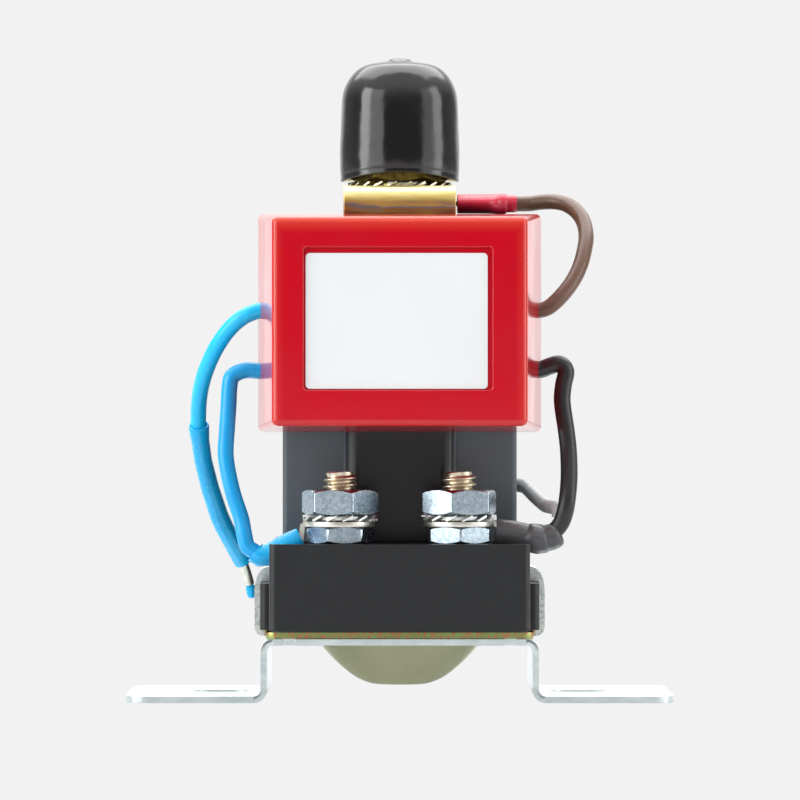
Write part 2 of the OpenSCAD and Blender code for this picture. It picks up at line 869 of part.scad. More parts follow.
// The yoke's section, drawn with its width along Y
module yoke_section() {
    leg_x = yoke_d / 2 - yoke_t;
    bend_x = yoke_d / 2 - yoke_bend_r;
    bend_z = yoke_top - yoke_bend_r;
    for (s = [0, 1])
        mirror([s, 0]) {
            translate([leg_x, deck_z])
                square([yoke_t, bend_z - deck_z]);
            translate([bend_x, bend_z])
                bend(yoke_bend_r, yoke_bend_r - yoke_t, 1, 1);
            translate([0, yoke_under])
                square([bend_x, yoke_t]);
        }
}

module yoke_frame() {
    color("goldenrod")
        difference() {
            rotate(90)
                along_y(yoke_w)
                    yoke_section();
            translate([0, 0, yoke_under - over])
                cylinder(r = neck_r + slip_gap, h = yoke_t + 2 * over);
        }
}

module pole_plate() {
    plate_d = yoke_d - 2 * yoke_t - 2 * insert_gap;
    color("darkgoldenrod")
        translate([0, 0, deck_z])
            linear_extrude(pole_plate_t)
                difference() {
                    round_rect(yoke_w, plate_d, yoke_t / 2);
                    circle(r = bobbin_bore_r);
                }
}

module coil_bobbin() {
    flange_r = winding_r + bobbin_flange_t / 2;
    barrel_out_r = bobbin_bore_r + bobbin_wall;
    color("ivory")
        difference() {
            union() {
                translate([0, 0, pole_top])
                    cylinder(r = flange_r, h = bobbin_flange_t);
                translate([0, 0, pole_top])
                    cylinder(r = barrel_out_r, h = bobbin_top - pole_top);
                translate([0, 0, bobbin_top - bobbin_flange_t])
                    cylinder(r = flange_r, h = bobbin_flange_t);
                translate([0, 0, bobbin_top - bobbin_flange_t])
                    cylinder(r = bobbin_neck_r, h = yoke_under - slip_gap - bobbin_top + bobbin_flange_t);
            }
            translate([0, 0, pole_top - over])
                cylinder(r = bobbin_bore_r, h = yoke_under - pole_top + 2 * over);
            translate([0, 0, yoke_under - collar_t - slip_gap])
                cylinder(r = collar_r + slip_gap, h = collar_t + over);
            translate([tab_in_x - slip_gap, tab_y - tab_w / 2 - slip_gap, tab_z - tab_t / 2])
                cube([tab_len, tab_w + 2 * slip_gap, tab_drop + tab_t + over]);
        }
}

module coil_winding() {
    wound_h = bobbin_top - pole_top - 2 * bobbin_flange_t - 2 * slip_gap;
    color("sienna")
        translate([0, 0, pole_top + bobbin_flange_t + slip_gap])
            ring(winding_r, bobbin_bore_r + bobbin_wall + slip_gap, wound_h);
}

module guide_tube() {
    color("khaki")
        translate([0, 0, deck_z])
            ring(tube_r, tube_bore_r, bobbin_top - deck_z);
}

module fixed_core() {
    neck_chamfer = neck_r / 6;
    color("darkgray")
        difference() {
            union() {
                translate([0, 0, core_z])
                    cylinder(r = core_r, h = yoke_under - core_z);
                translate([0, 0, yoke_under - collar_t]) {
                    cylinder(r = collar_r, h = collar_t);
                    chamfered_rod(neck_r, neck_top - yoke_under + collar_t, neck_chamfer);
                }
            }
            translate([0, 0, core_z - over])
                cylinder(r = spring_bore_r, h = spring_seat_core + over);
        }
}

module core_lock_washer() {
    color("khaki")
        translate([0, 0, yoke_top])
            toothed_washer(neck_washer_r, neck_r + slip_gap, neck_washer_t, neck_teeth);
}

module core_nut() {
    color("silver")
        translate([0, 0, cap_z])
            hex_nut(neck_nut_af, neck_nut_t, neck_r + thread_gap);
}

module plunger() {
    color("silver")
        difference() {
            translate([0, 0, plunger_z])
                cylinder(r = plunger_r, h = plunger_len);
            translate([0, 0, plunger_top - spring_seat])
                cylinder(r = spring_bore_r, h = spring_seat + over);
            translate([0, 0, plunger_z - over])
                cylinder(r = rod_r + insert_gap, h = rod_seat + over);
        }
}

module plunger_rod() {
    rod_len = plunger_z + rod_seat - insert_gap - rod_end_z;
    color("gainsboro")
        difference() {
            translate([0, 0, rod_end_z])
                cylinder(r = rod_r, h = rod_len);
            translate([0, 0, clip_z - insert_gap])
                ring(rod_r + over, groove_r, clip_t + 2 * insert_gap);
        }
}

// Contact disc between its two insulating bushes, held by a clip in the rod's groove

module upper_bush() {
    color("linen")
        translate([0, 0, disc_top])
            ring(bush_r, rod_r + insert_gap, bush_t);
}

module contact_disc() {
    color("chocolate")
        translate([0, 0, disc_z])
            ring(disc_r, rod_r + insert_gap, disc_t);
}

module lower_bush() {
    color("linen")
        translate([0, 0, disc_z - bush_low_t])
            ring(bush_r, rod_r + insert_gap, bush_low_t);
}

module retaining_clip() {
    color("slategray")
        translate([0, 0, clip_z])
            difference() {
                ring(clip_r, groove_r + insert_gap, clip_t);
                translate([-groove_r, 0, -over])
                    cube([2 * groove_r, clip_r + over, clip_t + 2 * over]);
            }
}

module return_spring() {
    steps = spring_rings * spring_curls;
    low = spring_z + spring_wire_r;
    rise = spring_top - spring_z - 2 * spring_wire_r;
    turns = [for (i = [0:steps], a = i * 360 / spring_rings)
        [spring_r * cos(a), spring_r * sin(a), low + rise * i / steps]];
    echo(str("least gap between the spring's curls: ", rise / spring_curls - 2 * spring_wire_r));
    color("lightgray")
        tube(turns, spring_wire_r, 6, [0, 0, 1]);
}

// Dip-moulded cap over the neck and its nut

// Half of the cap's section, for the outside and, made thinner, for the inside
module cap_section(r_rim, r_crown, h, r_corner) {
    polygon([[0, 0], [r_rim, 0], [r_crown, h - r_corner], [0, h - r_corner]]);
    square([r_crown - r_corner, h]);
    translate([r_crown - r_corner, h - r_corner])
        bend(r_corner, 0, 1, 1);
}

module neck_cap() {
    color("#17181a")
        translate([0, 0, cap_z])
            difference() {
                union() {
                    rotate_extrude()
                        cap_section(cap_r, cap_crown_r, cap_h, cap_corner_r);
                    cylinder(r = cap_nub_r, h = cap_h + cap_nub_h);
                }
                rotate_extrude()
                    cap_section(cap_r - cap_wall, cap_crown_r - cap_wall, cap_h - cap_wall,
                        cap_corner_r - cap_wall);
                translate([0, 0, -over])
                    cylinder(r = cap_r - cap_wall, h = 2 * over);
                translate([0, cap_r + over, rim_arch - arch_r])
                    rotate([90, 0, 0])
                        cylinder(r = arch_r, h = 2 * (cap_r + over));
            }
}

// Control box: a drafted shell with a recessed label, a back cover and its circuit board

// The drafted block of the box, drawn in by the wall where it is the cavity
module box_form(inset) {
    edge_r = max(box_edge_r - inset / 2, box_edge_r / 3);
    back_x = box_w / 2 - edge_r - inset;
    back_z = box_h / 2 - edge_r - inset;
    front_y = box_front_y + edge_r + (inset > 0 ? inset + recess_t : 0);
    back_y = box_back_y + (inset > 0 ? over : 0);
    hull() {
        for (x = [-1, 1], z = [-1, 1]) {
            translate([x * back_x, back_y, box_z + z * back_z])
                rotate([90, 0, 0])
                    cylinder(r = edge_r, h = edge_r, $fn = hull_fn);
            translate([x * (back_x - box_side_draft), front_y, box_z + z * (back_z - box_top_draft)])
                sphere(r = edge_r, $fn = hull_fn);
        }
    }
}

module control_box() {
    color("crimson")
        difference() {
            box_form(0);
            box_form(box_wall);
            translate([recess_x, box_front_y + recess_t, box_z + recess_z])
                rotate([90, 0, 0])
                    linear_extrude(recess_t + over)
                        round_rect(recess_w, recess_h, recess_r);
            for (side = [-1, 1], z = [wire_high, wire_low[side > 0 ? 1 : 0]])
                translate([side * (box_w / 2 + over), wire_in_y, z])
                    rotate([0, -side * 90, 0])
                        cylinder(r = wire_hole_r, h = box_wall + box_side_draft + over);
        }
}

module box_label() {
    color("white")
        translate([recess_x + label_shift_x, box_front_y + recess_t, box_z + recess_z + label_shift_z])
            rotate([90, 0, 0])
                linear_extrude(label_t)
                    round_rect(recess_w - 2 * label_margin, recess_h - 2 * label_margin, recess_r);
}

module box_back_cover() {
    draft_share = (lid_t + over) / box_d;
    lid_w = box_w - 2 * (box_wall + slip_gap + box_side_draft * draft_share);
    lid_h = box_h - 2 * (box_wall + slip_gap + box_top_draft * draft_share);
    color("firebrick")
        translate([0, 0, box_z]) {
            translate([0, box_back_y, 0])
                rotate([90, 0, 0])
                    linear_extrude(lid_t)
                        round_rect(lid_w, lid_h, box_edge_r);
            for (x = [-1, 1], z = [-1, 1])
                translate([x * board_w * post_x_share, box_back_y - lid_t, z * board_h * post_z_share])
                    rotate([90, 0, 0])
                        cylinder(r = post_r, h = board_gap);
        }
}

module circuit_board() {
    color("seagreen")
        translate([0, board_y + board_t, box_z])
            rotate([90, 0, 0])
                linear_extrude(board_t)
                    round_rect(board_w, board_h, box_edge_r);
}

// The parts on the board: a switching transistor, a capacitor and two chips
module board_components() {
    color("black")
        translate([0, board_y, box_z]) {
            for (x = [-1, 1])
                translate([x * board_w / 4 - chip_w / 2, -chip_t, -board_h / 3])
                    cube([chip_w, chip_t, chip_h]);
            translate([-board_w / 3, -transistor_t, 0])
                cube([transistor_w, transistor_t, transistor_h]);
            translate([board_w / 4, 0, board_h / 4])
                rotate([90, 0, 0])
                    cylinder(r = can_r, h = can_h);
        }
}

// Coil tab, push-on receptacle and its vinyl cover

module coil_tab() {
    color("gold")
        translate([tab_in_x, tab_y - tab_w / 2, tab_z - tab_t / 2])
            cube([tab_len, tab_w, tab_t]);
}

module coil_receptacle() {
    gap = insert_gap;
    h = tab_t + 2 * shoe_wall + 2 * gap;
    w = tab_w + 2 * shoe_wall + 2 * gap;
    color("gold")
        translate([shoe_x, tab_y, tab_z])
            difference() {
                union() {
                    translate([0, -w / 2, -h / 2])
                        cube([shoe_len, w, h]);
                    rotate([0, 90, 0])
                        cylinder(r = h / 2, h = shoe_len + h);
                }
                translate([-over, -tab_w / 2 - gap, -tab_t / 2 - gap])
                    cube([shoe_len + over - shoe_wall, tab_w + 2 * gap, tab_t + 2 * gap]);
            }
}

// The cover's flat end, seen along X: a slot outline, turned so that it is wide along Y
module cover_outline(grow) {
    h = tab_t + 2 * shoe_wall + 4 * insert_gap + 2 * grow;
    w = tab_w + 2 * shoe_wall + h / 2 + 2 * grow;
    rotate(90)
        slot(w, h);
}

module red_terminal_cover() {
    flat_skin = cover_neck_r - tab_t / 2 - shoe_wall;
    color("crimson")
        translate([cover_x, tab_y, tab_z])
            rotate([0, 90, 0])
                difference() {
                    union() {
                        linear_extrude(cover_cavity)
                            cover_outline(flat_skin);
                        cylinder(r = cover_neck_r, h = cover_len);
                        translate([0, 0, cover_flare_x - cover_x])
                            cylinder(r = cover_flare_r, h = cover_flare_len);
                    }
                    translate([0, 0, -over])
                        linear_extrude(cover_cavity - cover_skin + over)
                            cover_outline(cover_skin / 2);
                    cylinder(r = brown_r + slip_gap, h = cover_len + over);
                }
}

// Wires

module blue_sense_wire() { color("dodgerblue") tube(blue_jumper_route, blue_r); }

module black_sense_wire() { color("#222224") tube(black_jumper_route, black_r); }

module brown_coil_wire() { color("saddlebrown") tube(brown_route, brown_r); }

module coil_return_wire() { color("#333336") tube(return_route, lead_r, wire_sides, [0, 0, 1]); }

module blue_override_lead() { color("dodgerblue") tube(blue_lead_route, blue_r); }

module override_connector() { color("royalblue") tube(connector_route, connector_radii, sleeve_sides); }

module override_pin() { color("lightblue") tube(pin_route, blue_r * pin_share); }

module override_tip() { color("cyan") tube(tip_route, blue_r * tip_share); }

mounting_bracket();
dome_cover();
cover_gasket();
contact_base();
left_load_stud();
right_load_stud();
left_contact_bar();
right_contact_bar();
left_jam_nut();
right_jam_nut();
left_ring_terminal();
right_ring_terminal();
blue_terminal_sleeve();
black_terminal_sleeve();
left_lock_washer();
right_lock_washer();
left_terminal_nut();
right_terminal_nut();
coil_housing();
yoke_frame();
pole_plate();
coil_bobbin();
coil_winding();
guide_tube();
fixed_core();
core_lock_washer();
core_nut();
neck_cap();
plunger();
plunger_rod();
upper_bush();
contact_disc();
lower_bush();
retaining_clip();
return_spring();
control_box();
box_label();
box_back_cover();
circuit_board();
board_components();
coil_tab();
coil_receptacle();
red_terminal_cover();
blue_sense_wire();
black_sense_wire();
brown_coil_wire();
coil_return_wire();
blue_override_lead();
override_connector();
override_pin();
override_tip();
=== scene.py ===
# %% [markdown]
# # A battery isolator relay, dressed for its studio picture
# The relay is a small solenoid on a bent steel bracket, with two load studs, a red control box wired to
# them, and a glossy cap on the end of its coil core.
# The measured model comes in first and stays where it is. Each later step dresses one or more of its pieces.

# %% Load the measured model
import json
import math
from functools import partial

import bmesh
import bpy
from mathutils import Matrix, Vector


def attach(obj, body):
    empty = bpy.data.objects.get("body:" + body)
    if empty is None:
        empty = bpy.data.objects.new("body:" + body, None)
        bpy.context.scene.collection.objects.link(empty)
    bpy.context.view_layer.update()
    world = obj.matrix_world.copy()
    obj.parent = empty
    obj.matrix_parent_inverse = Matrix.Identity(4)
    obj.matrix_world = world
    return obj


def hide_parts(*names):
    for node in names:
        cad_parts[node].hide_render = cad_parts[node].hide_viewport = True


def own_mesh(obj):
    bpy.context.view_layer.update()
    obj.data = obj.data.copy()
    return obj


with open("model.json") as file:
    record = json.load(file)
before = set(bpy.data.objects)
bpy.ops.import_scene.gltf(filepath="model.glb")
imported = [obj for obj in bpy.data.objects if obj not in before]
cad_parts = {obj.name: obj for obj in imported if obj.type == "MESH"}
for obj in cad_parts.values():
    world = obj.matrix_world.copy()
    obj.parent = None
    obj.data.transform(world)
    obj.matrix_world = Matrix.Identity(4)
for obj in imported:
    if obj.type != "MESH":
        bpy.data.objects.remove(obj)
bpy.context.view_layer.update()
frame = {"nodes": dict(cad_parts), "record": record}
scene = bpy.context.scene
print("pieces in the model:", len(frame["nodes"]))

# %% [markdown]
# ## Camera
# Long lenses flatten a small product, and the picture was taken nearly level with the middle of the relay.
# A 267 mm lens a little over a metre away gives the same height of the feet and the same width of the cap.

# %% Camera
lens = bpy.data.cameras.new("studio_camera")
lens.lens = 267.3
lens.sensor_width = 36
camera = bpy.data.objects.new("studio_camera", lens)
camera.location = (0.00006, -1.133, 0.0567)
camera.rotation_euler = (math.radians(90), 0, 0)
scene.collection.objects.link(camera)
scene.camera = camera
print("camera distance:", abs(camera.location.y), "m")

# %% [markdown]
# ## Smooth routes for the wires
# A wire bends evenly, so a few given points are joined by a curve that passes through each of them.
# A Bezier curve with automatic handles would do as well. A Catmull-Rom curve is used because its points can
# also carry the sleeves, which are turned along the same line.

# %% Points along a smooth route
MM = 0.001


def smooth_route(points, spans=5):
    """Points of a smooth curve through the given points, in millimetres."""
    knots = [Vector(point) for point in points]
    knots = [2 * knots[0] - knots[1]] + knots + [2 * knots[-1] - knots[-2]]
    route = []
    for before, start, end, after in zip(knots, knots[1:], knots[2:], knots[3:]):
        for step in range(spans):
            t = step / spans
            bend = (2 * before - 5 * start + 4 * end - after) * t * t
            twist = (3 * start - before - 3 * end + after) * t * t * t
            route.append(0.5 * (2 * start + (end - before) * t + bend + twist))
    route.append(knots[-2])
    return route


def route_length(route):
    """Length of a route, in millimetres."""
    return sum((b - a).length for a, b in zip(route, route[1:]))


lead_route = smooth_route([
    (-24, -28.3, 73.4), (-26.2, -28.3, 73.3), (-29.2, -28, 72.1), (-32, -26.5, 69.6), (-34.5, -24, 66),
    (-36.5, -20, 61.7), (-37.6, -16, 57.6), (-38, -12, 53.1), (-37.9, -11, 51.6)], 4)
blue_jumper_route = smooth_route([
    (-24, -28.3, 62.1), (-26.2, -28.3, 62.1), (-28.8, -28.5, 62.2), (-31, -28.7, 61.2), (-31.6, -29, 59.4),
    (-31.8, -29.5, 55.5), (-32.1, -30, 50.8), (-32.3, -30.5, 46.7), (-31.7, -31, 42.7),
    (-30.7, -31.5, 38.7), (-29.4, -32, 34.8), (-28.8, -32.7, 31.8), (-28.2, -33, 29.6), (-27, -33, 28.7)])
black_jumper_route = smooth_route([
    (24, -28.3, 62.3), (26.3, -28.3, 62.4), (27.9, -28.5, 63), (29.8, -28.8, 63.4), (30.9, -29, 62),
    (30.4, -29.5, 59.3), (30.2, -30, 56.2), (30.9, -30.7, 51.1), (31.3, -31.3, 47.4), (31.4, -32.4, 43.7),
    (31.3, -33.3, 41), (31, -34, 38.2), (30.6, -34.1, 36), (29.9, -33.8, 34), (28.7, -33.4, 32.5),
    (27.2, -33.1, 31.6), (25.8, -33, 31.1)])
brown_route = smooth_route([
    (19.6, -6, 93.9), (22.3, -6, 93.9), (24.7, -6, 93.95), (26.9, -6.8, 94.2), (29.4, -8, 94.2),
    (31.6, -10, 93.6), (33.4, -12.5, 92.2), (34.6, -15, 90.2), (35, -18, 87.5), (34.6, -20.5, 84.8),
    (33.7, -23, 81.7), (32.3, -25, 78.9), (30.4, -26.7, 76.4), (28.1, -28, 74.2), (26.2, -28.3, 73.4),
    (24, -28.3, 73.4)])
return_route = smooth_route([
    (19.4, 5, 40.4), (22.4, 5, 40.4), (23.7, 3.6, 40.2), (24.5, 0, 39.7), (25.2, -7, 38.9),
    (26.2, -15, 37.9), (27.3, -22.5, 37), (28.3, -28, 36.8), (29.2, -30.6, 36.6), (29.6, -31.5, 35.7),
    (29.5, -31.6, 34.8)])
connector_route = smooth_route([
    (-37.9, -10.9, 51.4), (-37.8, -9.9, 49.9), (-37.3, -6, 45.3), (-36, -1, 39.5), (-34.2, 4, 33.7),
    (-32.2, 7.5, 29.8), (-30.2, 10.5, 25.5)], 8)
pin_route = smooth_route([(-30.1, 10.65, 25.3), (-29.4, 11.6, 23.2), (-28.9, 12.2, 21.2)], 4)
tip_route = smooth_route([(-28.85, 12.25, 21), (-28.6, 12.5, 19.9), (-28.4, 12.7, 18.5)], 4)
blue_sleeve_route = smooth_route([
    (-26.8, -33, 28.55), (-26, -33, 27.95), (-24.2, -33, 27.9), (-21.4, -33, 29.5), (-18.2, -33, 31.1)], 8)
black_sleeve_route = smooth_route([
    (29.8, -33.3, 32), (28.8, -33.2, 31.6), (27.6, -33, 31.2), (25.8, -33, 30.95), (23.8, -33, 31.3),
    (21.4, -33, 32), (18.9, -33, 32.3)], 8)
print("free lead, mm:", round(route_length(lead_route), 1))

# %% [markdown]
# ## Node helper and colours
# A finish is a small tree of nodes. One helper adds a node with its settings and links, so each finish
# reads as a short list. A colour mix has its share in socket 0 and its two colours in sockets 6 and 7.
# Colours are given as hex values, which screens store bent by a curve, and one function straightens
# that.

# %% Node helper and colours
def add_node(tree, kind, sockets=None, **settings):
    """Adds a node, sets it, and links or fills its inputs. A node stands for its first output."""
    node = tree.nodes.new("ShaderNode" + kind)
    for setting, value in settings.items():
        setattr(node, setting, value)
    for socket, value in (sockets or {}).items():
        if isinstance(value, bpy.types.Node):
            value = next(output for output in value.outputs if output.enabled)
        if isinstance(value, bpy.types.NodeSocket):
            tree.links.new(value, node.inputs[socket])
        else:
            node.inputs[socket].default_value = value
    return node


def paint(code):
    """A hex colour, made linear."""
    parts = [int(code[place:place + 2], 16) / 255 for place in (1, 3, 5)]
    straight = [part / 12.92 if part <= 0.04045 else ((part + 0.055) / 1.055) ** 2.4 for part in parts]
    return (*straight, 1.0)


FINISHES = {}
# A noise spends most of its area in this part of its range
NOISE_SPAN = {"From Min": 0.3, "From Max": 0.7}


def open_tree(owner):
    """Empties the tree of a finish or of the room, and gives the helper that adds nodes to it."""
    owner.use_nodes = True
    owner.node_tree.nodes.clear()
    return partial(add_node, owner.node_tree)


def start_finish(slot, name):
    """Opens a finish. Gives its helper, and the place of each point on its piece, in metres."""
    finish = bpy.data.materials.new(name)
    FINISHES[slot] = finish
    add = open_tree(finish)
    return add, add("TexCoord").outputs["Object"]


def end_finish(add, **sockets):
    """Adds the shader and the output. Underscores in a name stand for spaces."""
    named = {name.replace("_", " "): value for name, value in sockets.items()}
    add("OutputMaterial", {"Surface": add("BsdfPrincipled", named)})


def per_mm(size):
    """Scale of a noise whose patches are about this many millimetres across."""
    return 1000 / size


# %% [markdown]
# ## Plated steel
# Zinc plating grows in small crystals, so its shine is broken into patches a few tenths of a millimetre
# wide. A chromate film over it drifts in colour. The patches are drawn with two noises: a slow one for the
# colour, and a fine one for the roughness and the relief. Bare and turned metals use the same tree.

# %% Plated steel
def plated(slot, name, pale, deep, patch, grain, smooth, rough, relief, stretch=(1, 1, 1)):
    """A plated metal. patch and grain are in millimetres, relief in micrometres."""
    add, place = start_finish(slot, name)
    along = add("Mapping", {"Vector": place, "Scale": stretch})
    slow = add("TexNoise", {"Vector": along, "Scale": per_mm(patch), "Detail": 3.0})
    fine = add("TexNoise", {"Vector": along, "Scale": per_mm(grain)})
    shift = add("MapRange", {"Value": slow, "From Min": 0.35, "From Max": 0.65})
    tint = add("Mix", {0: shift, 6: paint(pale), 7: paint(deep)}, data_type="RGBA")
    shine = add("MapRange", {"Value": fine, **NOISE_SPAN, "To Min": smooth, "To Max": rough})
    bumps = add("Bump", {"Height": fine, "Distance": relief * 1e-6})
    end_finish(add, Base_Color=tint, Metallic=1.0, Roughness=shine, Normal=bumps)


# Bright zinc on sheet: cold and nearly white, with soft rolling marks along the strip
plated("bright_zinc", "bright_zinc_sheet", "#E6F0F0", "#D6E2E4", 2.5, 1.2, 0.17, 0.26, 0.6, (0.35, 1, 1))
# Chromated nut under the cap: olive chromate, darkened as painted shade under the cap
plated("olive_zinc_painted_shade", "olive_chromated_zinc_painted_shade", "#8C7A40", "#5C4E24", 1.2, 0.4, 0.3, 0.45, 1)
# Chromated washer under that nut: painted a pale cream, a painted highlight for the glints on its teeth
plated("zinc_painted_cream_glints", "chromated_zinc_painted_glints", "#FBF6DE", "#E2DAB4", 0.8, 0.4, 0.25, 0.4, 0.6)
# Bright zinc on turned hardware: blue-grey crystals, drawn large enough to show
plated("zinc_hardware", "bright_zinc_hardware", "#C6D4DD", "#A2B5C3", 0.7, 0.4, 0.22, 0.3, 0.4)
# Zinc on sprung washers: tumbled, so it is paler and duller
plated("washer_zinc", "tumbled_zinc", "#FBFDFB", "#EEF2EF", 1.0, 0.3, 0.38, 0.5, 0.6)
# Bronze rod with a rolled thread: pale and warm, slightly dulled in the roots
plated("stud_bronze", "rolled_bronze", "#EDE4D2", "#D2C4A8", 1.2, 0.3, 0.26, 0.4, 0.6)
# Tinned copper: dull and pale
plated("tinned_copper", "tinned_copper", "#F2F0E8", "#DEDBD0", 1.5, 0.4, 0.3, 0.45, 0.6)
# Bare copper bar, lightly darkened by the air
plated("copper", "bare_copper", "#D08A62", "#A8603E", 2.0, 0.3, 0.25, 0.42, 1)
# Drawn brass for the tab, its receptacle and the guide tube
plated("drawn_brass", "drawn_brass", "#DEC277", "#B8964C", 2.0, 0.3, 0.2, 0.36, 1)
# Turned steel for the plunger and the core
plated("plain_steel", "turned_steel", "#BFC1C3", "#9A9C9F", 1.6, 0.2, 0.25, 0.4, 1, (1, 1, 4))
# Enamelled wire in layers: fine rings, about 0.4 mm apart up the coil
plated("enamelled_copper", "enamelled_winding", "#A85A2C", "#6E3216", 0.8, 0.4, 0.2, 0.4, 60,
       (0.02, 0.02, 1))
print("plated finishes made")

# %% [markdown]
# ## Moulded and dipped plastics
# A moulded part takes the grain of its tool, a fraction of a millimetre across and a few micrometres deep.
# It also carries faint flow marks. A soft vinyl is smoother, with slow waves. The same tree serves both,
# with different sizes.

# %% Moulded and dipped plastics
def moulded(slot, name, colour, shade, flow, grain, smooth, rough, relief, refraction=1.5, deep=0.0):
    """A plastic. flow and grain are in millimetres, relief in micrometres. Deep lets light soak in."""
    add, place = start_finish(slot, name)
    slow = add("TexNoise", {"Vector": place, "Scale": per_mm(flow)})
    fine = add("TexNoise", {"Vector": place, "Scale": per_mm(grain)})
    tint = add("Mix", {0: slow, 6: paint(colour), 7: paint(shade)}, data_type="RGBA")
    shine = add("MapRange", {"Value": slow, **NOISE_SPAN, "To Min": smooth, "To Max": rough})
    bumps = add("Bump", {"Height": fine, "Distance": relief * 1e-6})
    end_finish(add, Base_Color=tint, Roughness=shine, IOR=refraction, Subsurface_Weight=deep,
               Subsurface_Scale=0.002, Normal=bumps)


# Phenolic: hard, dark grey and satin, with a fine speckle of filler
moulded("black_phenolic", "moulded_phenolic", "#17191C", "#101315", 3.0, 0.25, 0.34, 0.5, 3)
# Vinyl dipped cap: black, wet-looking, with slow waves from the dip
moulded("black_vinyl", "dipped_vinyl", "#161616", "#101011", 9.0, 7.0, 0.15, 0.22, 240, 1.6)
# Heat-shrink tube: black, waxy
moulded("heat_shrink", "shrunk_polyolefin", "#48484B", "#535356", 2.0, 1.6, 0.26, 0.38, 60)
# PVC insulation in its colours, smooth with a faint drag from the extruder
moulded("blue_pvc", "blue_pvc_insulation", "#08CBFF", "#02BCFA", 4.0, 0.8, 0.26, 0.36, 2, 1.5, 0.15)
# The jumper's copy of the blue insulation is darker: painted shade, as the jumper lies in shade
moulded("blue_pvc_painted_shade", "blue_pvc_insulation_painted_shade", "#06AEEC", "#029CE2", 4.0, 0.8, 0.26, 0.36, 2, 1.5,
        0.15)
moulded("black_pvc", "black_pvc_insulation", "#252527", "#1E1E21", 4.0, 0.8, 0.3, 0.4, 2)
moulded("grey_pvc", "grey_pvc_insulation", "#C9CDD0", "#BDC2C5", 4.0, 0.8, 0.24, 0.34, 2)
moulded("brown_pvc", "brown_pvc_insulation", "#6A4B3A", "#5B3F2F", 4.0, 0.8, 0.26, 0.36, 2)
# Vinyl sleeves that let a little light in
moulded("blue_sleeve_vinyl", "blue_vinyl_sleeve", "#12BCF6", "#0CACEC", 3.0, 0.7, 0.2, 0.32, 3, 1.5, 0.25)
moulded("red_vinyl", "red_vinyl_cover", "#DE2846", "#C21E3C", 3.0, 0.7, 0.2, 0.32, 3, 1.5, 0.2)
# Plain inner parts
moulded("natural_nylon", "natural_nylon", "#E3DCC6", "#D6CCB0", 4.0, 0.3, 0.4, 0.55, 6, 1.53, 0.1)
moulded("component_plastic", "moulded_epoxy", "#2A2A2C", "#222224", 2.0, 0.2, 0.45, 0.6, 6, 1.55)
moulded("gasket_fibre", "compressed_fibre", "#4A5245", "#3A4236", 0.8, 0.2, 0.7, 0.85, 30, 1.45)
print("moulded finishes made")

# %% [markdown]
# ## Finishes with a pattern of their own
# The red box is ABS from a polished tool: its colour is deep and its skin glossy, with a slight orange-peel
# wave, and a painted highlight warms the front towards its edges, most at the top. The yoke's yellow film
# drifts in tan and blue in long streaks, and its colour climbs from a painted rose reflection of the red box
# at the strip's foot to a painted cream highlight at its bend. The pressed cover is washed to a pale green
# on its dome, speckled with rose on its flange and frosted on its ears. The coil housing has a polished
# ridge between two satin flats, so its finish changes with the distance from the middle, and its two front
# flats are painted pale, a painted reflection of the side soft boxes. The label is satin film with a fine
# tooth, and the board has a woven glass core.

# %% Red box
add, place = start_finish("red_abs", "polished_red_abs")
wave = add("TexNoise", {"Vector": place, "Scale": per_mm(1.6)})
haze = add("TexNoise", {"Vector": place, "Scale": per_mm(12), "Detail": 3.0})
tint = add("Mix", {0: haze, 6: paint("#C8001A"), 7: paint("#BC001C")}, data_type="RGBA")
# A painted highlight: the front is warmed to a paler red over its last few millimetres towards its edges,
# most at the top
BOX_MIDDLE_Z = 0.07105
centred = add("Mapping", {"Vector": place, "Location": (0, 0, -BOX_MIDDLE_Z)})
parts = add("SeparateXYZ", {"Vector": centred}).outputs
across = add("Math", {0: parts["X"]}, operation="ABSOLUTE")
# For the top, the bottom and the sides: where the painted highlight starts, where it is full, and how strong
# it is
painted_edge_highlights = ((parts["Z"], 0.0158, 0.0192, 0.75), (parts["Z"], -0.0176, -0.0192, 0.25),
         (across, 0.0208, 0.0234, 0.4))
painted_highlight_share = 0.0
for source, start, stop, most in painted_edge_highlights:
    near = add("MapRange", {"Value": source, "From Min": start, "From Max": stop, "To Max": most},
               interpolation_type="SMOOTHSTEP")
    painted_highlight_share = add("Math", {0: near, 1: painted_highlight_share}, operation="MAXIMUM")
at_front = add("MapRange", {"Value": parts["Y"], "From Min": -0.0475, "From Max": -0.0508},
               interpolation_type="SMOOTHSTEP")
painted_highlight_share = add("Math", {0: at_front, 1: painted_highlight_share}, operation="MULTIPLY")
# The painted highlight's paler red is mixed into the box's colour
tint = add("Mix", {0: painted_highlight_share, 6: tint, 7: paint("#E04C38")}, data_type="RGBA")
shine = add("MapRange", {"Value": haze, **NOISE_SPAN, "To Min": 0.1, "To Max": 0.16})
bumps = add("Bump", {"Height": wave, "Distance": 3e-6})
end_finish(add, Base_Color=tint, Roughness=shine, IOR=1.54, Normal=bumps)

# %% Chromated yoke
add, place = start_finish("yellow_zinc", "gold_chromated_zinc")
along = add("Mapping", {"Vector": place, "Scale": (0.13, 0.5, 1)})
drawn = add("TexNoise", {"Vector": along, "Scale": per_mm(0.9), "Detail": 3.0})
drift = add("TexNoise", {"Vector": place, "Scale": per_mm(9)})
height = add("SeparateXYZ", {"Vector": place}).outputs["Z"]
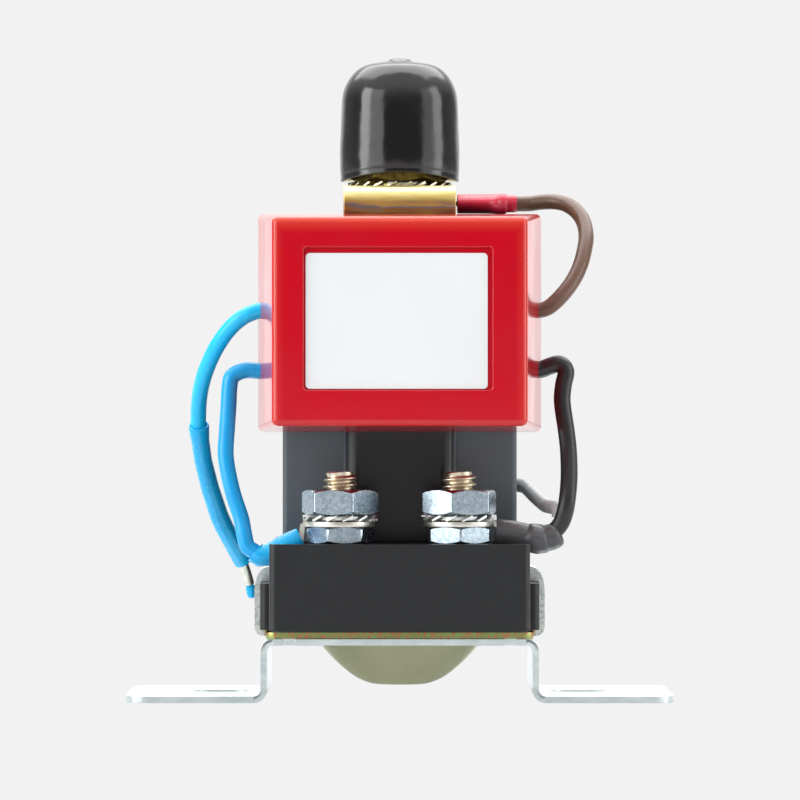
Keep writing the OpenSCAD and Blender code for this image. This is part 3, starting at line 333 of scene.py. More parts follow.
# The colour climbs from a painted rose reflection of the red box at the strip's foot, through the film's tan
# and blue, to a painted cream highlight at its bend, and the streaks break it up
painted_light_climb = add("MapRange", {"Value": height, "From Min": 0.0917, "From Max": 0.097, "To Min": -0.24,
                         "To Max": 0.72})
streaks_and_painted_light = add("Math", {0: drawn, 1: 0.55, 2: painted_light_climb}, operation="MULTIPLY_ADD")
upper = add("MapRange", {"Value": height, "From Min": 0.0905, "From Max": 0.0917})
film_and_painted_light = add("Mix", {0: upper, 2: drift, 3: streaks_and_painted_light}, data_type="FLOAT")
ramp = add("ValToRGB", {"Fac": film_and_painted_light})
# Ramp stops: a painted rose reflection of the red box, the film's tan, blue-grey and yellow, and a painted
# cream highlight at the bend
stops = ((0.0, "#A4684C"), (0.16, "#B98A50"), (0.28, "#868E98"), (0.37, "#D0B070"), (0.5, "#D2B868"),
         (0.85, "#EEDFA4"))
for knot, (spot, shade) in enumerate(stops):
    stop = ramp.color_ramp.elements[knot] if knot < 2 else ramp.color_ramp.elements.new(spot)
    stop.position = spot
    stop.color = paint(shade)
shine = add("MapRange", {"Value": drawn, **NOISE_SPAN, "To Min": 0.36, "To Max": 0.5})
end_finish(add, Base_Color=ramp, Metallic=1.0, Roughness=shine)

# %% Pressed cover's film
add, place = start_finish("pale_chromate", "pale_chromated_zinc")
axes = add("SeparateXYZ", {"Vector": place}).outputs
wash = add("TexNoise", {"Vector": place, "Scale": per_mm(7), "Detail": 3.0})
speck = add("TexNoise", {"Vector": place, "Scale": per_mm(0.55), "Detail": 1.0})
rose = add("MapRange", {"Value": speck, "From Min": 0.5, "From Max": 0.6})
frost = add("MapRange", {"Value": speck, "From Min": 0.4, "From Max": 0.56})
dome = add("Mix", {0: wash, 6: paint("#DCDDBE"), 7: paint("#C4C89C")}, data_type="RGBA")
flange = add("Mix", {0: rose, 6: paint("#9DB46E"), 7: paint("#D88468")}, data_type="RGBA")
ears = add("Mix", {0: frost, 6: paint("#D6E0D8"), 7: paint("#F6FAF7")}, data_type="RGBA")
# The flange lies between two heights, and the ears are above it or further out
over_dome = add("MapRange", {"Value": axes["Z"], "From Min": 0.0118, "From Max": 0.0121})
over_flange = add("MapRange", {"Value": axes["Z"], "From Min": 0.0134, "From Max": 0.0137})
aside = add("Math", {0: axes["X"]}, operation="ABSOLUTE")
past_flange = add("MapRange", {"Value": aside, "From Min": 0.0254, "From Max": 0.0258})
on_ears = add("Math", {0: over_flange, 1: past_flange}, operation="MAXIMUM")
tint = add("Mix", {0: over_dome, 6: dome, 7: flange}, data_type="RGBA")
tint = add("Mix", {0: on_ears, 6: tint, 7: ears}, data_type="RGBA")
shine = add("MapRange", {"Value": wash, **NOISE_SPAN, "To Min": 0.34, "To Max": 0.46})
end_finish(add, Base_Color=tint, Metallic=1.0, Roughness=shine)

# %% Coil housing
add, place = start_finish("black_nylon", "moulded_nylon_housing")
parts = add("SeparateXYZ", {"Vector": place}).outputs
aside = add("Math", {0: parts["X"]}, operation="ABSOLUTE")
off_ridge = add("MapRange", {"Value": aside, "From Min": 0.0098, "From Max": 0.0104})
off_front = add("MapRange", {"Value": parts["Y"], "From Min": -0.0222, "From Max": -0.0205})
flat = add("Math", {0: off_ridge, 1: off_front}, operation="MAXIMUM")
grit = add("TexNoise", {"Vector": place, "Scale": per_mm(0.3)})
# Painted reflection: the flats beside the ridge are paler than the ridge
tint = add("Mix", {0: off_ridge, 6: paint("#171719"), 7: paint("#616C72")}, data_type="RGBA")
# Only the two front flats are painted pale, a painted reflection of the side soft boxes. The sides, the back
# and the top are left as moulded
tint = add("Mix", {0: off_front, 6: tint, 7: paint("#2C2F32")}, data_type="RGBA")
shine = add("MapRange", {"Value": flat, "To Min": 0.3, "To Max": 0.55})
bumps = add("Bump", {"Height": grit, "Distance": 3e-6})
end_finish(add, Base_Color=tint, Roughness=shine, IOR=1.5, Normal=bumps)

# %% Label film and board
add, place = start_finish("white_label", "satin_label_film")
tooth = add("TexNoise", {"Vector": place, "Scale": per_mm(0.3), "Detail": 3.0})
cloud = add("TexNoise", {"Vector": place, "Scale": per_mm(14)})
tint = add("Mix", {0: cloud, 6: paint("#E9ECEE"), 7: paint("#E2E5E7")}, data_type="RGBA")
bumps = add("Bump", {"Height": tooth, "Distance": 3e-6})
end_finish(add, Base_Color=tint, Roughness=0.42, IOR=1.45, Normal=bumps)

add, place = start_finish("board_laminate", "glass_epoxy_laminate")
weave = add("TexWave", {"Vector": place, "Scale": per_mm(0.8), "Distortion": 0.6}, wave_type="BANDS",
            bands_direction="DIAGONAL").outputs["Fac"]
tint = add("Mix", {0: weave, 6: paint("#1E6A3A"), 7: paint("#165430")}, data_type="RGBA")
end_finish(add, Base_Color=tint, Roughness=0.3, IOR=1.55)

# %% Each measured piece takes its finish
SLOTS = {part["node"]: part["material_slot"] for part in frame["record"]["subparts"]}
for node, slot in SLOTS.items():
    if node in frame["nodes"]:
        skin = frame["nodes"][node].data
        skin.materials.clear()
        skin.materials.append(FINISHES[slot])
print("finishes:", len(FINISHES))

# %% [markdown]
# ## From a shape to a piece
# Every piece is shaped in millimetres. One helper closes its seams, points its faces outwards, rounds its
# edges, turns it to metres and sets it on the relay. Real edges are never razor sharp, and a rounding of a
# tenth of a millimetre is enough to catch a thin line of light.

# %% From a shape to a piece
# How far an edge turns before it is rounded, in degrees, and how wide a gap is closed, in millimetres
SHARP_CORNER = 30
SEAM = 0.0008


def bevel(shape, parts, width, segments=2, affect="EDGES"):
    """Rounds edges, or the corners of a flat outline."""
    bmesh.ops.bevel(shape, geom=parts, offset=width, offset_type="OFFSET", segments=segments, profile=0.5,
                    affect=affect, clamp_overlap=True, material=-1)


def soften(shape, width):
    """Rounds each sharp edge."""
    limit = math.radians(SHARP_CORNER)
    bevel(shape, [edge for edge in shape.edges
                  if len(edge.link_faces) == 2 and edge.calc_face_angle(0) > limit], width)


def even_flats(piece):
    """Keeps flat faces flat in the light, next to their rounded edges."""
    flats = piece.modifiers.new("flat_faces", "WEIGHTED_NORMAL")
    flats.keep_sharp = True


def set_piece(piece, stands_for, body="root"):
    """Puts a finished object on the relay, in place of a measured piece."""
    scene.collection.objects.link(piece)
    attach(piece, body)
    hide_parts(stands_for)


def make_piece(name, shape, stands_for, body="root", edge=0.0, crease=35, look=None):
    """Turns a shape in millimetres into a piece in metres, with its edges rounded by the width in edge."""
    bmesh.ops.remove_doubles(shape, verts=shape.verts, dist=SEAM)
    bmesh.ops.recalc_face_normals(shape, faces=shape.faces)
    if edge:
        soften(shape, edge)
    bare = sum(1 for line in shape.edges if len(line.link_faces) != 2)
    bmesh.ops.scale(shape, vec=(MM, MM, MM), verts=shape.verts)
    mesh = bpy.data.meshes.new(name)
    shape.to_mesh(mesh)
    shape.free()
    mesh.shade_smooth()
    mesh.set_sharp_from_angle(angle=math.radians(crease))
    mesh.materials.append(FINISHES[look or SLOTS[stands_for]])
    piece = bpy.data.objects.new(name, mesh)
    set_piece(piece, stands_for, body)
    if edge:
        even_flats(piece)
    print(name, "faces", len(mesh.polygons), "open edges", bare)
    return piece


# %% Steps on a shape
def new_since(shape, before):
    """The points that a step has added."""
    return [point for point in shape.verts if point not in before]


def points_of(made):
    """The points in what a step has made."""
    return [part for part in made if isinstance(part, bmesh.types.BMVert)]


def lines_of(made):
    """The edges in what a step has made."""
    return [part for part in made if isinstance(part, bmesh.types.BMEdge)]


def lines_at(points):
    """The edges that meet at these points."""
    return list({line for point in points for line in point.link_edges})


def move(shape, points, way):
    """Moves points by a vector."""
    bmesh.ops.translate(shape, vec=way, verts=points)


def thicken(shape, faces, way):
    """Gives flat faces a thickness along a vector."""
    move(shape, points_of(bmesh.ops.extrude_face_region(shape, geom=faces)["geom"]), way)


def spin(shape, parts, angle, steps, rise=0.0, centre=(0, 0, 0), axis=(0, 0, 1), merge=False):
    """Turns parts round an axis, lifts them by the rise at each step, and gives the last of them."""
    return bmesh.ops.spin(shape, geom=parts, cent=centre, axis=axis, dvec=(0, 0, rise), angle=angle,
                          steps=steps, use_merge=merge, use_normal_flip=False,
                          use_duplicate=False)["geom_last"]


def cut_off(shape, place, out):
    """Cuts off what lies beyond a plane, and closes the cut."""
    everything = shape.verts[:] + shape.edges[:] + shape.faces[:]
    cut = bmesh.ops.bisect_plane(shape, geom=everything, dist=0.0005, plane_co=place, plane_no=out,
                                 clear_outer=True, clear_inner=False)
    bmesh.ops.contextual_create(shape, geom=lines_of(cut["geom_cut"]))


# %% [markdown]
# ## Wires
# Each wire is extruded PVC over a stranded core, so it is perfectly round and bends in wide, even curves.
# A curve with a round bevel is the natural tool: it stays light and keeps its section at each bend.

# %% Wires
def wire_piece(name, route, radius, stands_for, look=None):
    """A wire: a round section carried along its route."""
    line = bpy.data.curves.new(name, "CURVE")
    line.dimensions = "3D"
    line.bevel_depth = radius * MM
    line.bevel_resolution = 6
    line.use_fill_caps = True
    spline = line.splines.new("POLY")
    spline.points.add(len(route) - 1)
    for knot, point in zip(spline.points, route):
        knot.co = (*(point * MM), 1)
    line.materials.append(FINISHES[look or SLOTS[stands_for]])
    piece = bpy.data.objects.new(name, line)
    set_piece(piece, stands_for)
    print(name, "length, mm:", round(route_length(route), 1))
    return piece


# The blue jumper runs on into its boot, up to where the terminal holds it
HELD_X = -24.6
into_boot = [point for point in blue_sleeve_route if point.x < HELD_X]
lead = wire_piece("blue_free_lead", lead_route, 1.5, "blue_override_lead")
# The jumper takes the blue insulation darkened with painted shade
wire_piece("blue_jumper", blue_jumper_route + into_boot, 1.5, "blue_sense_wire", "blue_pvc_painted_shade")
wire_piece("black_jumper", black_jumper_route, 1.6, "black_sense_wire")
wire_piece("brown_feed", brown_route, 1.45, "brown_coil_wire")
wire_piece("coil_return", return_route, 1.35, "coil_return_wire", "grey_pvc")

# %% [markdown]
# ## Sleeves and covers along a wire
# A sleeve is a turned form whose axis is bent. Its profile is a list of distances along the route with a
# radius at each, and it may step back into itself, which gives a real mouth with a wall. A ring of points is
# extruded from one distance to the next.

# %% Sleeves and covers
def place_on(route, distance, radius, wide):
    """The place, turn and size of a sleeve's ring at a distance along its route."""
    left = max(distance, 0)
    for start, end in zip(route, route[1:]):
        step = (end - start).length
        if left <= step or end == route[-1]:
            break
        left -= step
    ahead = (end - start).normalized()
    centre = start + ahead * (left if distance >= 0 else distance)
    across = Vector((0, 1, 0)).cross(ahead).normalized()
    up = ahead.cross(across)
    turn = Matrix((across * radius, up * radius * wide, ahead)).transposed().to_4x4()
    return Matrix.Translation(centre) @ turn


def sleeve_piece(name, route, profile, stands_for, sides=40):
    """Extrudes a ring along a route. Each stop is a distance, a radius and, if it is flat, a width share."""
    shape = bmesh.new()
    places = [place_on(route, stop[0], stop[1], stop[2] if len(stop) > 2 else 1) for stop in profile]
    ring = bmesh.ops.create_circle(shape, cap_ends=False, segments=sides, radius=1)["verts"]
    lines = lines_at(ring)
    bmesh.ops.contextual_create(shape, geom=lines)
    bmesh.ops.transform(shape, matrix=places[0], verts=ring)
    for now, after in zip(places, places[1:]):
        grown = bmesh.ops.extrude_edge_only(shape, edges=lines)["geom"]
        ring = points_of(grown)
        lines = [line for line in lines_of(grown) if all(point in ring for point in line.verts)]
        bmesh.ops.transform(shape, matrix=after @ now.inverted(), verts=ring)
    bmesh.ops.contextual_create(shape, geom=lines)
    return make_piece(name, shape, stands_for)


def far_mouth(route, bore, outside, wall, lip=0.25):
    """Stops of the mouth at a sleeve's far end, from its outside back into its bore."""
    length = route_length(route)
    return [(length - lip, outside), (length, outside - lip * 0.4), (length, outside - wall),
            (length - 1, bore)]


profile = [(0.7, 1.4), (-0.6, 1.53), (-0.78, 1.66), (-0.75, 1.82), (-0.5, 1.93), (0.4, 1.92), (1.6, 1.85),
           (2.4, 1.74), (8, 1.7), (15, 1.75), (22, 1.8), (25, 1.8)]
profile += far_mouth(connector_route, 1.3, 1.7, 0.3)
connector = sleeve_piece("connector_sleeve", connector_route, profile, "override_connector")
profile = [(0, 0.7), (0.05, 0.88), (2, 0.9), (4.3, 0.9), (4.6, 0.8)]
pin = sleeve_piece("connector_pin", pin_route, profile, "override_pin")
profile = [(0, 0.7), (0.1, 0.9), (0.8, 0.97), (1.7, 0.97), (2.2, 0.85), (2.45, 0.65), (2.55, 0.35)]
tip = sleeve_piece("connector_tip", tip_route, profile, "override_tip")

profile = [(2.0, 1.52), (0.3, 1.57), (0, 1.7), (0, 1.95), (0.25, 2.05), (1.2, 2.14), (3.2, 2.2), (6, 2.2),
           (8, 2.17), (8.9, 2.12)]
profile += far_mouth(blue_sleeve_route, 1.52, 2.1, 0.35)
sleeve_piece("blue_terminal_boot", blue_sleeve_route, profile, "blue_terminal_sleeve")

# The shrunk boot is flattened a little, and swells where it covers the terminal's crimp
length = route_length(black_sleeve_route)
profile = [(1.6, 1.6, 1.1), (0.3, 1.62, 1.1), (0.02, 1.7, 1.15), (0.05, 1.85, 1.2), (0.25, 2.05, 1.2),
           (0.6, 2.24, 1.22), (1.1, 2.37, 1.23), (1.8, 2.45, 1.24), (2.9, 2.48, 1.25), (3.2, 2.68, 1.25),
           (4.4, 2.8, 1.25), (5.6, 2.74, 1.25), (6.4, 2.6, 1.25), (6.75, 2.4, 1.22), (8.6, 2.3, 1.2),
           (length, 2.34, 1.15), (length + 0.9, 2.4, 1.1), (length + 1.05, 2.36, 1.1),
           (length + 1.1, 2.2, 1.1), (length + 1.05, 2.0, 1.1), (length - 0.6, 1.5, 1.1)]
sleeve_piece("shrunk_terminal_boot", black_sleeve_route, profile, "black_terminal_sleeve")

# The vinyl cover is straight: a wide flat skirt over the receptacle, and a round neck for the wire
straight = [Vector((10.9, -6, 93.9)), Vector((22.2, -6, 93.9))]
profile = [(5.8, 1.2, 2.9), (0.1, 1.3, 2.9), (0, 1.65, 2.6), (0.15, 1.83, 2.52), (5.6, 1.85, 2.5),
           (6.6, 1.88, 2.2), (7.4, 1.92, 1.6), (8.0, 1.97, 1.15), (8.8, 1.97), (9.2, 1.86), (9.5, 1.62),
           (11.0, 1.6), (11.25, 1.56), (11.3, 1.5), (11.1, 1.45), (9, 1.45)]
sleeve_piece("coil_terminal_cover", straight, profile, "red_terminal_cover")

# %% [markdown]
# ## Turned pieces
# The cap, the dome and the nuts all start on a lathe, so one helper spins a profile round the upright axis.
# The cap is dipped: its mouth rises a little at the front and back, its crown is well rounded, and the drip
# has left a low button in the middle.

# %% Turned pieces
def arc(centre_r, centre_z, radius, start, end, steps):
    """Points of an arc for a turned profile, angles in degrees from the radial direction."""
    angles = [math.radians(start + (end - start) * step / steps) for step in range(steps + 1)]
    return [(centre_r + radius * math.cos(a), centre_z + radius * math.sin(a)) for a in angles]


def smooth_profile(points):
    """Radius and height along a smooth curve through the given points."""
    return [(point.x, point.z) for point in smooth_route([(reach, 0, up) for reach, up in points], 4)]


def turned(shape, profile, steps, closed=False):
    """Spins a profile of radius and height round the upright axis."""
    before = set(shape.verts)
    points = [shape.verts.new((radius, 0, height)) for radius, height in profile]
    pairs = list(zip(points, points[1:])) + ([(points[-1], points[0])] if closed else [])
    lines = [shape.edges.new(pair) for pair in pairs]
    spin(shape, points + lines, 2 * math.pi, steps, merge=True)
    bmesh.ops.remove_doubles(shape, verts=new_since(shape, before), dist=SEAM)


rim_z, crown_z = 98.2, 121.2
button = [(0, crown_z + 0.6), (1.4, crown_z + 0.56), (1.9, crown_z + 0.42), (2.3, crown_z + 0.15)]
outside = smooth_profile([
    (3.0, 121.15), (4.6, 120.95), (6.5, 120.5), (7.8, 119.85), (9.05, 118.7), (9.95, 117.4), (10.55, 116.1),
    (10.93, 114.6), (11.1, 112.4), (11.22, 109), (11.4, 105), (11.42, 102), (11.36, 100.2), (11.28, 99.3),
    (11.3, 98.7)])
lip = arc(11.05, 98.48, 0.26, 0, -90, 4)
inside = [(10.3, rim_z + 0.1), (10.15, rim_z + 0.5), (10.0, rim_z + 9), (9.75, rim_z + 16)]
inside += arc(4.75, crown_z - 6, 5, 0, 90, 8) + [(0, crown_z - 1)]
shape = bmesh.new()
turned(shape, button + outside + lip + inside, 96)
# Seen from the front the mouth is a flat arc, and its rise fades out higher up the wall
mouth_rise, mouth_half, fade = 1.5, 11.25, 6
mouth_r = (mouth_half ** 2 + mouth_rise ** 2) / 2 / mouth_rise
for point in shape.verts:
    share = max(0.0, 1 - (point.co.z - rim_z) / fade)
    rise = math.sqrt(max(mouth_r ** 2 - point.co.x ** 2, 0)) - (mouth_r - mouth_rise)
    point.co.z += max(rise, 0) * share
make_piece("dipped_cap", shape, "neck_cap", body="cap_body", crease=60)

# %% [markdown]
# ## Nuts
# A nut is turned first and gets its flats afterwards, which is why each flat ends in a curved line under the
# chamfer. The same is done here: a turned blank is cut by six planes, and the cuts are closed.

# %% Nuts
# A quarter inch stud, its place beside and in front of the coil's axis, and the bore of its nuts
STUD_R, STUD_X, STUD_Y = 3.175, 11, -33
NUT_BORE = STUD_R + 0.08
# Heights of the stack on each stud, from the deck up
LOWER_NUT, WASHER, UPPER_NUT = (30.15, 33.3), (34.2, 35.5), (35.5, 40.1)


def nut(name, body, stands_for, across, low, high, bore, turn, centre=(0, 0), look=None):
    """A chamfered hexagon nut."""
    shape = bmesh.new()
    flat, chamfer = across / 2, 0.4
    corner = flat / math.cos(math.radians(30))
    rise = (corner - flat) * math.tan(math.radians(30))
    round_r = corner - 0.12
    profile = [(bore, low + chamfer), (bore + chamfer, low), (flat - 0.1, low), (round_r, low + rise),
               (round_r, high - rise), (flat - 0.1, high), (bore + chamfer, high), (bore, high - chamfer)]
    turned(shape, profile, 96, closed=True)
    for side in range(6):
        angle = math.radians(turn + 30 + 60 * side)
        out = Vector((math.cos(angle), math.sin(angle), 0))
        cut_off(shape, out * flat, out)
    move(shape, shape.verts, (*centre, 0))
    make_piece(name, shape, stands_for, body=body, edge=0.12, crease=25, look=look)


# The lower nuts measure 7/16 inch across their flats, and the upper ones half an inch
for hand, side, lower_turn, upper_turn in (("left", -1, -50.8, -11.3), ("right", 1, -28, -41)):
    place = (side * STUD_X, STUD_Y)
    nut(hand + "_lower_nut", "root", hand + "_jam_nut", 11.11, *LOWER_NUT, NUT_BORE, lower_turn, place)
    nut(hand + "_upper_nut", hand + "_nut_body", hand + "_terminal_nut", 12.7, *UPPER_NUT, NUT_BORE,
        upper_turn, place)
# The nut under the cap takes the olive zinc that is darkened with painted shade
nut("neck_nut", "root", "core_nut", across=17, low=98.2, high=103.2, bore=5.08, turn=0, look="olive_zinc_painted_shade")

# %% [markdown]
# ## Threaded studs
# A rolled thread is a 60 degree groove that climbs 1.27 mm each turn. One groove's section is spun and
# lifted at the same time, the turns are merged, and the ends are cut square. The tip is chamfered so that a
# nut starts easily, and the head and shank below the deck are plain.

# %% Threaded studs
def stud(name, side, stands_for):
    """A load stud with its head in the base."""
    pitch, low, high, chamfer, steps = 1.27, 29.0, 43.4, 0.8, 40
    root = STUD_R - 0.61 * pitch
    shares = [(root, 0), (root, 0.17), (STUD_R, 0.522), (STUD_R, 0.648), (root, 1)]
    shape = bmesh.new()
    points = [shape.verts.new((r, 0, low - pitch + share * pitch)) for r, share in shares]
    lines = [shape.edges.new(pair) for pair in zip(points, points[1:])]
    turns = math.ceil((high - low) / pitch) + 2
    spin(shape, points + lines, 2 * math.pi * turns, steps * turns, rise=pitch / steps)
    bmesh.ops.remove_doubles(shape, verts=shape.verts, dist=0.002)
    cut_off(shape, (0, 0, low), (0, 0, -1))
    cut_off(shape, (0, 0, high), (0, 0, 1))
    for point in shape.verts:
        reach = math.hypot(point.co.x, point.co.y)
        allowed = STUD_R - max(0.0, point.co.z - (high - chamfer))
        if reach > allowed:
            point.co.x *= allowed / reach
            point.co.y *= allowed / reach
    turned(shape, [(0, 20.5), (5.1, 20.5), (5.4, 20.8), (5.4, 23.2), (5.2, 23.5), (STUD_R, 23.5),
                   (STUD_R, 29.1), (0, 29.1)], 48)
    move(shape, shape.verts, (side * STUD_X, STUD_Y, 0))
    make_piece(name, shape, stands_for, crease=40)


stud("left_stud", -1, "left_load_stud")
stud("right_stud", 1, "right_load_stud")

# %% [markdown]
# ## Toothed washers
# A shakeproof washer is a thin ring whose outside teeth are twisted, so that their corners bite both the nut
# and the terminal. Each tooth is a small blade, turned about its own length and repeated round the ring.

# %% Toothed washers
def toothed_washer(name, look, body, stands_for, low, high, bore, reach, teeth, centre=(0, 0)):
    """A lock washer with twisted outside teeth."""
    shape = bmesh.new()
    middle = (low + high) / 2
    half = 0.28 * (high - low)
    ring_r = bore + (reach - bore) * 0.55
    turned(shape, [(bore, middle - half), (ring_r, middle - half), (ring_r, middle + half),
                   (bore, middle + half)], teeth * 4, closed=True)
    tooth_len = reach - ring_r + 0.5
    tooth_w = 2 * math.pi * reach / teeth * 0.68
    twist = math.asin(min(0.9, (high - low - 1.2 * half) / tooth_w))
    for tooth in range(teeth):
        before = set(shape.verts)
        bmesh.ops.create_cube(shape, size=1)
        blade = new_since(shape, before)
        bmesh.ops.scale(shape, vec=(tooth_len, tooth_w, 1.1 * half), verts=blade)
        bmesh.ops.rotate(shape, cent=(0, 0, 0), matrix=Matrix.Rotation(twist, 3, "X"), verts=blade)
        move(shape, blade, (reach - 0.12 - tooth_len / 2, 0, middle))
        turn = Matrix.Rotation(2 * math.pi * tooth / teeth, 3, "Z")
        bmesh.ops.rotate(shape, cent=(0, 0, 0), matrix=turn, verts=blade)
    move(shape, shape.verts, (*centre, 0))
    make_piece(name, shape, stands_for, body=body, edge=0.06, look=look)


for hand, side in (("left", -1), ("right", 1)):
    toothed_washer(hand + "_toothed_washer", "washer_zinc", hand + "_washer_body", hand + "_lock_washer",
                   *WASHER, bore=NUT_BORE, reach=7.05, teeth=14, centre=(side * STUD_X, STUD_Y))
# The washer under the cap is painted pale cream: a painted highlight
toothed_washer("neck_toothed_washer", "zinc_painted_cream_glints", "root", "core_lock_washer", low=97, high=98.2,
               bore=5.1, reach=9.95, teeth=22)

# %% [markdown]
# ## Sheet metal
# Sheet parts are cut flat and then bent. The outline and its holes are drawn as loops, filled, and given
# their thickness. The bracket's bends are made as on a press: the fold edge is spun round the bend's centre.

# %% Loops for sheet metal
def outline_of(shape, others):
    """The outline of the faces that are not among the others. The faces go, and their edges stay."""
    blank = [face for face in shape.faces if face not in others]
    lines = [line for face in blank for line in face.edges]
    bmesh.ops.delete(shape, geom=blank, context="FACES_ONLY")
    return lines


def rounded_loop(shape, width, depth, radius, centre=(0, 0), height=0.0):
    """A rectangle with round corners. A slot is one whose radius is half its depth."""
    others = set(shape.faces)
    places = ((-1, -1), (1, -1), (1, 1), (-1, 1))
    points = [shape.verts.new((centre[0] + x * width / 2, centre[1] + y * depth / 2, height))
              for x, y in places]
    shape.faces.new(points)
    bevel(shape, points, min(radius, min(width, depth) / 2 - 0.01), 8, "VERTICES")
    return outline_of(shape, others)


def round_loop(shape, radius, height):
    """A round hole's loop."""
    points = bmesh.ops.create_circle(shape, cap_ends=False, segments=72, radius=radius)["verts"]
    move(shape, points, (0, 0, height))
    return lines_at(points)


def fill_sheet(shape, lines, thickness=0.0):
    """Fills the space between loops, and thickens it upwards."""
    made = bmesh.ops.triangle_fill(shape, edges=lines, use_beauty=True, use_dissolve=False)["geom"]
    if thickness:
        faces = [part for part in made if isinstance(part, bmesh.types.BMFace)]
        thicken(shape, faces, (0, 0, thickness))


# %% Mounting bracket
shape = bmesh.new()
# The sheet's middle plane: its heights in the feet and the plate, and where its risers and feet end
sheet, bend_r, half_depth = 1.25, 1.875, 22
foot_z, plate_z, riser_x, foot_end = 0.625, 11.375, 25.475, 51.5
fold_in, fold_out = riser_x - bend_r, riser_x + bend_r
for side in (-1, 1):
    others = set(shape.faces)
    inner, outer = side * fold_out, side * foot_end
    corners = [shape.verts.new((x, y, foot_z)) for x, y in (
        (inner, -half_depth), (outer, -half_depth), (outer, half_depth), (inner, half_depth))]
    shape.faces.new(corners)
    bevel(shape, corners[1:3], width=4.3, segments=10, affect="VERTICES")
    lines = outline_of(shape, others)
    fold = [line for line in lines if all(abs(point.co.x - inner) < 0.001 for point in line.verts)]
    slot_loop = rounded_loop(shape, width=10.5, depth=6.6, radius=3.3, centre=(side * 34, 0), height=foot_z)
    fill_sheet(shape, lines + slot_loop)
    for centre, way in (((inner, 0, foot_z + bend_r), 1), ((side * fold_in, 0, plate_z - bend_r), -1)):
        ends = list({point for line in fold for point in line.verts})
        fold = lines_of(spin(shape, ends + fold, way * math.pi / 2, 10, centre=centre, axis=(0, side, 0)))
        if way > 0:
            riser = bmesh.ops.extrude_edge_only(shape, edges=fold)["geom"]
            top = points_of(riser)
            move(shape, top, (0, 0, plate_z - foot_z - 2 * bend_r))
            fold = [line for line in lines_of(riser) if all(point in top for point in line.verts)]
notch = [(19.6, -half_depth), (19.6, -20), (22, -20), (22, -half_depth)]
plate = [(-fold_in, -half_depth)] + [(-x, y) for x, y in reversed(notch)] + notch
plate += [(fold_in, -half_depth), (fold_in, half_depth), (-fold_in, half_depth)]
points = [shape.verts.new((x, y, plate_z)) for x, y in plate]
lines = [shape.edges.new(pair) for pair in zip(points, points[1:] + points[:1])]
fill_sheet(shape, lines + round_loop(shape, 17.2, plate_z))
bracket = make_piece("hat_bracket", shape, "mounting_bracket", crease=30)
thick = bracket.modifiers.new("sheet_thickness", "SOLIDIFY")
thick.thickness = sheet * MM
thick.offset = 0
thick.use_even_offset = True
burr = bracket.modifiers.new("edge_rounding", "BEVEL")
burr.width = 0.5 * MM
burr.segments = 4
burr.limit_method = "ANGLE"
burr.angle_limit = math.radians(50)
even_flats(bracket)

# %% [markdown]
# ## Dome cover and gasket
# The cover is one pressing: a flange, a round dome below it, and two ears that are crimped over the ledges
# of the base. Its dome has a flat bottom, a wide rounding and sloping flanks, as a deep drawn part has.

# %% Dome cover and gasket
flange_z, flange_t, gasket_t = 12, 1.2, 0.4
flange_top = flange_z + flange_t
shape = bmesh.new()
fill_sheet(shape, rounded_loop(shape, 50.2, 43, 2, height=flange_z) + round_loop(shape, 17.05, flange_z),
           flange_t)
flank = smooth_profile([(3.4, 2.6), (5.7, 2.8), (8.7, 4.15), (11.9, 6.75), (14.6, 9.6), (16.2, 11.8),
                        (16.79, flange_top)])
lining = smooth_profile([(15.56, flange_top), (15.05, 12.1), (13.6, 10.2), (11.1, 7.7), (8.2, 5.3), (5.3, 4),
                         (3.4, 3.8)])
turned(shape, [(0, 2.6)] + flank + lining + [(0, 3.8)], 96)
crimp = smooth_profile([(27.5, 19.6), (27.46, 21.2), (27.15, 22.9), (26.5, 24.2), (25.6, 24.95),
                        (24.6, 25.15), (24.1, 24.6)])
hook = [(24.0, flange_z)] + arc(25.8, 13.7, 1.7, -90, 0, 8) + crimp + [(24.1, 22.35), (26.3, 22.35)]
hook += arc(25.8, 13.7, 0.5, 0, -90, 6) + [(24.0, flange_top)]
ear_width = 16
for side in (-1, 1):
    blank = shape.faces.new([shape.verts.new((side * x, -ear_width / 2, z)) for x, z in hook])
    thicken(shape, [blank], (0, ear_width, 0))
make_piece("pressed_cover", shape, "dome_cover", edge=0.22, crease=40, look="pale_chromate")

shape = bmesh.new()
fill_sheet(shape, rounded_loop(shape, 48, 43, 1.3, height=flange_top) + round_loop(shape, 16, flange_top),
           gasket_t)
make_piece("cut_gasket", shape, "cover_gasket", edge=0.05)

# %% [markdown]
# ## Control box
# The box is a drafted shell: narrower at its front so that it leaves the tool. It starts as a block whose
# front corners are drawn in. All its front edges are rounded, the front is inset and sunk for the label, and
# the open back gets its wall from the Solidify modifier.

# %% Control box
shape = bmesh.new()
back_y, front_y, middle_z = -24.5, -51.97, 71.05
front_size, back_size = (46.4, 38.1), (52.8, 40.7)
recess_x, recess_z, recess_size = -0.3, 71.5, (34.8, 26.4)
bmesh.ops.create_cube(shape, size=1)
for point in shape.verts:
    front_side = point.co.y < 0
    wide, tall = front_size if front_side else back_size
    point.co = (math.copysign(wide / 2, point.co.x), front_y if front_side else back_y,
                middle_z + math.copysign(tall / 2, point.co.z))
rear = [face for face in shape.faces if all(abs(point.co.y - back_y) < 0.01 for point in face.verts)]
bmesh.ops.delete(shape, geom=rear, context="FACES_ONLY")
bevel(shape, [line for line in shape.edges if len(line.link_faces) == 2], width=1.1, segments=6)
face = min(shape.faces, key=lambda panel: (panel.calc_center_median().y, -panel.calc_area()))
bmesh.ops.recalc_face_normals(shape, faces=shape.faces)
bmesh.ops.inset_region(shape, faces=[face], thickness=4.1, depth=0)
hold = list(face.verts)
